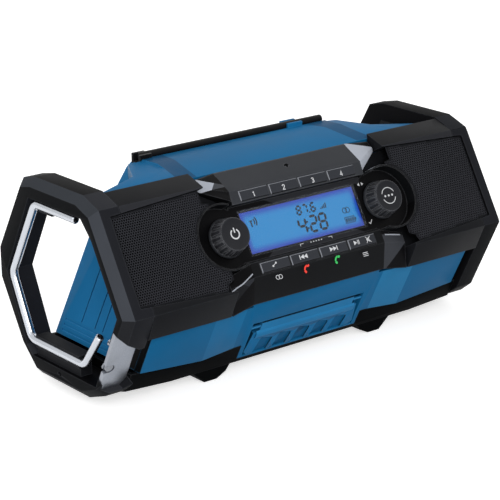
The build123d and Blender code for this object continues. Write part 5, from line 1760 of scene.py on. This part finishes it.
@dataclass(frozen=True)
class DigitRow:
    """Row of seven-segment digits, in mm: each digit with its left edge, their foot and their size."""

    digits: tuple[tuple[int, float], ...]
    foot: float
    high: float
    wide: float
    thick: float

    SEGMENTS = {2: "abged", 4: "fgbc", 6: "afgedc", 7: "abc", 8: "abcdefg"}
    ENDS = {
        "a": ((0, 2), (1, 2)),
        "b": ((1, 1), (1, 2)),
        "c": ((1, 0), (1, 1)),
        "d": ((0, 0), (1, 0)),
        "e": ((0, 0), (0, 1)),
        "f": ((0, 1), (0, 2)),
        "g": ((0, 1), (1, 1)),
    }
    GAP = 0.35

    def draw(self, plot: Plot) -> None:
        """Draws the row: each segment is a bar with pointed ends.

        Args:
            plot: where it is drawn.
        """
        t = self.thick / 2
        for value, left in self.digits:
            for key in self.SEGMENTS[value]:
                (c0, r0), (c1, r1) = self.ENDS[key]
                dx, dy = c1 - c0, r1 - r0
                ends = []
                for column, row, way in ((c0, r0, 1), (c1, r1, -1)):
                    x = left + column * self.wide + way * dx * t * self.GAP
                    y = self.foot + row * self.high / 2 + way * dy * t * self.GAP
                    ends.append((x, y, way * t))
                (x0, y0, s), (x1, y1, e) = ends
                plot.area(
                    [
                        (x0, y0),
                        (x0 + dx * s + dy * t, y0 + dy * s + dx * t),
                        (x1 + dx * e + dy * t, y1 + dy * e + dx * t),
                        (x1, y1),
                        (x1 + dx * e - dy * t, y1 + dy * e - dx * t),
                        (x0 + dx * s - dy * t, y0 + dy * s - dx * t),
                    ]
                )


@dataclass
class Display:
    """Segment digits and small signs on the backlit panel, behind the clear lens."""

    shop: Shop
    level: float = -13.1
    slant: float = 0.1
    frequency: DigitRow = DigitRow(((8, -7.2), (7, -1.3), (6, 6.2)), 41.2, 6.2, 3.7, 1.5)
    clock: DigitRow = DigitRow(((4, -8.4), (2, 2.0), (8, 11.0)), 26.6, 11.4, 6.2, 1.9)

    def build(self) -> None:
        """Makes the digits and signs."""
        plot = Plot(0, 0, self.level, slant=self.slant)
        self.frequency.draw(plot)
        plot.dot(0.6, 4.3, self.frequency.foot)
        self.clock.draw(plot)
        for u in (29.8, 34.6):
            plot.dot(0.75, -0.4, u)
        for i in range(4):
            left = 14.6 + 1.6 * i
            plot.box(left, 41.4, left + 1.0, 42.4 + i)
        plot.slant = 0.0
        self._antenna_sign(plot, -45.5)
        plot.twin_rings(2.0, 0.55, 39.8, 42.6, 36.0)
        self._battery_sign(plot)
        self.shop.turned_out("lcd.signs", plot.bm, "lcd_dark", "body")

    @staticmethod
    def _antenna_sign(plot: Plot, x: float) -> None:
        """Small antenna with two waves on its right.

        Args:
            plot: where it is drawn.
            x: the antenna's place.
        """
        plot.stroke([(x, 40.6), (x, 44.0)], 1.1)
        plot.area([(x - 1.5, 45.6), (x + 1.5, 45.6), (x, 43.4)])
        for radius in (3.2, 5.0):
            plot.arc(radius, -38, 38, 1.0, (x, 44.2))

    @staticmethod
    def _battery_sign(plot: Plot) -> None:
        """Battery with four full cells.

        Args:
            plot: where it is drawn.
        """
        plot.stroke([(37.6, 26.2), (46.6, 26.2), (46.6, 30.6), (37.6, 30.6)], 0.55, closed=True)
        plot.box(47.1, 27.4, 48.0, 29.4)
        for i in range(4):
            left = 38.4 + 2.0 * i
            plot.box(left, 27.0, left + 1.3, 29.8)


NODE_FINISHES = {
    "antenna_black": "antenna_rod antenna_pivot",
    "rubber_black": "foot_left foot_right",
    "hook_chrome": "carry_hook stop_pin",
    "guard_black": "hook_clip hook_cradle",
    "screw_steel": "plate_screw base_screws cover_screws volume_shaft tuning_shaft",
    "shaft_steel": "volume_plunger tuning_plunger speaker_left speaker_right",
    "board_green": "control_board main_board",
    "contact_brass": "battery_contacts dc_pin",
    "lens_clear": "display_window",
    "lcd_blue": "lcd_module",
    "cone_paper": "speaker_cone_left speaker_cone_right",
    "inner_black": "speaker_enclosure_left speaker_enclosure_right microphone volume_encoder tuning_encoder"
    " aux_jack dc_inlet terminal_block preset_keymat function_keymat",
}


# ------------------------------------------------------------------ the studio
@dataclass(frozen=True)
class Lamp:
    """Square area lamp: its place and target in metres, its edge and its power."""

    name: str
    place: tuple[float, float, float]
    target: tuple[float, float, float]
    size: float
    power: float

    def build(self) -> None:
        """Hangs the lamp."""
        lamp = bpy.data.lights.new(self.name, "AREA")
        lamp.energy = self.power
        lamp.size = self.size
        obj = bpy.data.objects.new(self.name, lamp)
        obj.location = self.place
        way = Vector(self.target) - Vector(self.place)
        obj.rotation_euler = way.to_track_quat("-Z", "Y").to_euler()
        bpy.context.scene.collection.objects.link(obj)


@dataclass
class Studio:
    """Floor, white surround, lamps and camera."""

    eye: tuple[float, float, float] = (-0.84239, -1.0614, 0.51695)
    forward: tuple[float, float, float] = (0.5871, 0.7471, -0.3116)
    right: tuple[float, float, float] = (0.7836, -0.6211, -0.0126)
    lens: float = 135.6
    lamps: tuple[Lamp, ...] = (
        Lamp("key", (-0.9, -1.6, 0.9), (0, 0, 0.08), 0.9, 17.0),
        Lamp("fill", (-1.9, -0.3, 0.7), (0, 0, 0.08), 0.9, 4.0),
        Lamp("back", (1.2, 0.9, 1.5), (0, 0, 0.1), 0.8, 2.0),
    )

    def build(self) -> None:
        """Sets up everything that isn't the radio."""
        scene = bpy.context.scene
        scene.view_settings.view_transform = "Standard"
        cam = bpy.data.objects.new("camera", bpy.data.cameras.new("camera"))
        cam.data.lens = self.lens
        cam.data.sensor_width = 36
        forward, right = Vector(self.forward).normalized(), Vector(self.right).normalized()
        up = right.cross(forward).normalized()
        turn = Matrix((right, up, -forward)).transposed().to_4x4()
        cam.matrix_world = Matrix.Translation(self.eye) @ turn
        scene.collection.objects.link(cam)
        scene.camera = cam
        self._world(scene)
        self._floor()
        for lamp in self.lamps:
            lamp.build()

    @staticmethod
    def _seen(graph: Graph) -> Socket:
        """Mask of the rays that show the surround: from the camera, off metal and through glass.

        Args:
            graph: the tree that needs it.

        Returns:
            The mask's socket.
        """
        path = graph.add("ShaderNodeLightPath")
        mask = path["Is Camera Ray"]
        for ray in ("Is Glossy Ray", "Is Transmission Ray"):
            mask = graph.math("MAXIMUM", mask, path[ray])
        return mask

    def _world(self, scene: bpy.types.Scene) -> None:
        """Surround that is white as seen and lights the radio at a plain level.

        Args:
            scene: the scene.
        """
        world = bpy.data.worlds.new("studio")
        world.use_nodes = True
        scene.world = world
        graph = Graph(world.node_tree)
        strength = graph.mapped(self._seen(graph), target=(0.62, 1.0))
        graph.fill(world.node_tree.nodes["Background"], {"Color": (1, 1, 1, 1), "Strength": strength})

    def _floor(self) -> None:
        """Plain white table top, a hair under the radio."""
        mat = bpy.data.materials.new("table_white")
        mat.use_nodes = True
        graph = Graph(mat.node_tree)
        seen = self._seen(graph)
        look = {
            "Base Color": graph.mapped(seen, target=(0.6, 0.93)),
            "Roughness": 0.9,
            "Specular IOR Level": 0.0,
            "Emission Color": (1, 1, 1, 1),
            "Emission Strength": graph.mapped(seen, target=(0.0, 0.6)),
        }
        graph.fill(mat.node_tree.nodes["Principled BSDF"], look)
        bm = bmesh.new()
        bmesh.ops.create_grid(bm, x_segments=1, y_segments=1, size=6)
        mesh = to_mesh(bm, "floor")
        mesh.materials.append(mat)
        obj = bpy.data.objects.new("floor", mesh)
        obj.location.z = -0.2 * MM
        bpy.context.scene.collection.objects.link(obj)


def main() -> None:
    """Dresses the radio and sets up the studio."""
    logging.basicConfig(level=logging.INFO, format="%(name)s %(message)s")
    Studio().build()
    shop = Shop()
    for finish, nodes in NODE_FINISHES.items():
        for node in nodes.split():
            shop.dress(node, finish)
    Casing(shop).build()
    for side in Side:
        Grille(shop, side).build()
    Knob(shop, "volume_knob", -KNOB_X).build()
    Knob(shop, "tuning_knob", KNOB_X).build()
    Marks(shop).build()
    Display(shop).build()
    LOG.info("%d pieces", shop.count)


if __name__ == "__main__":
    main()
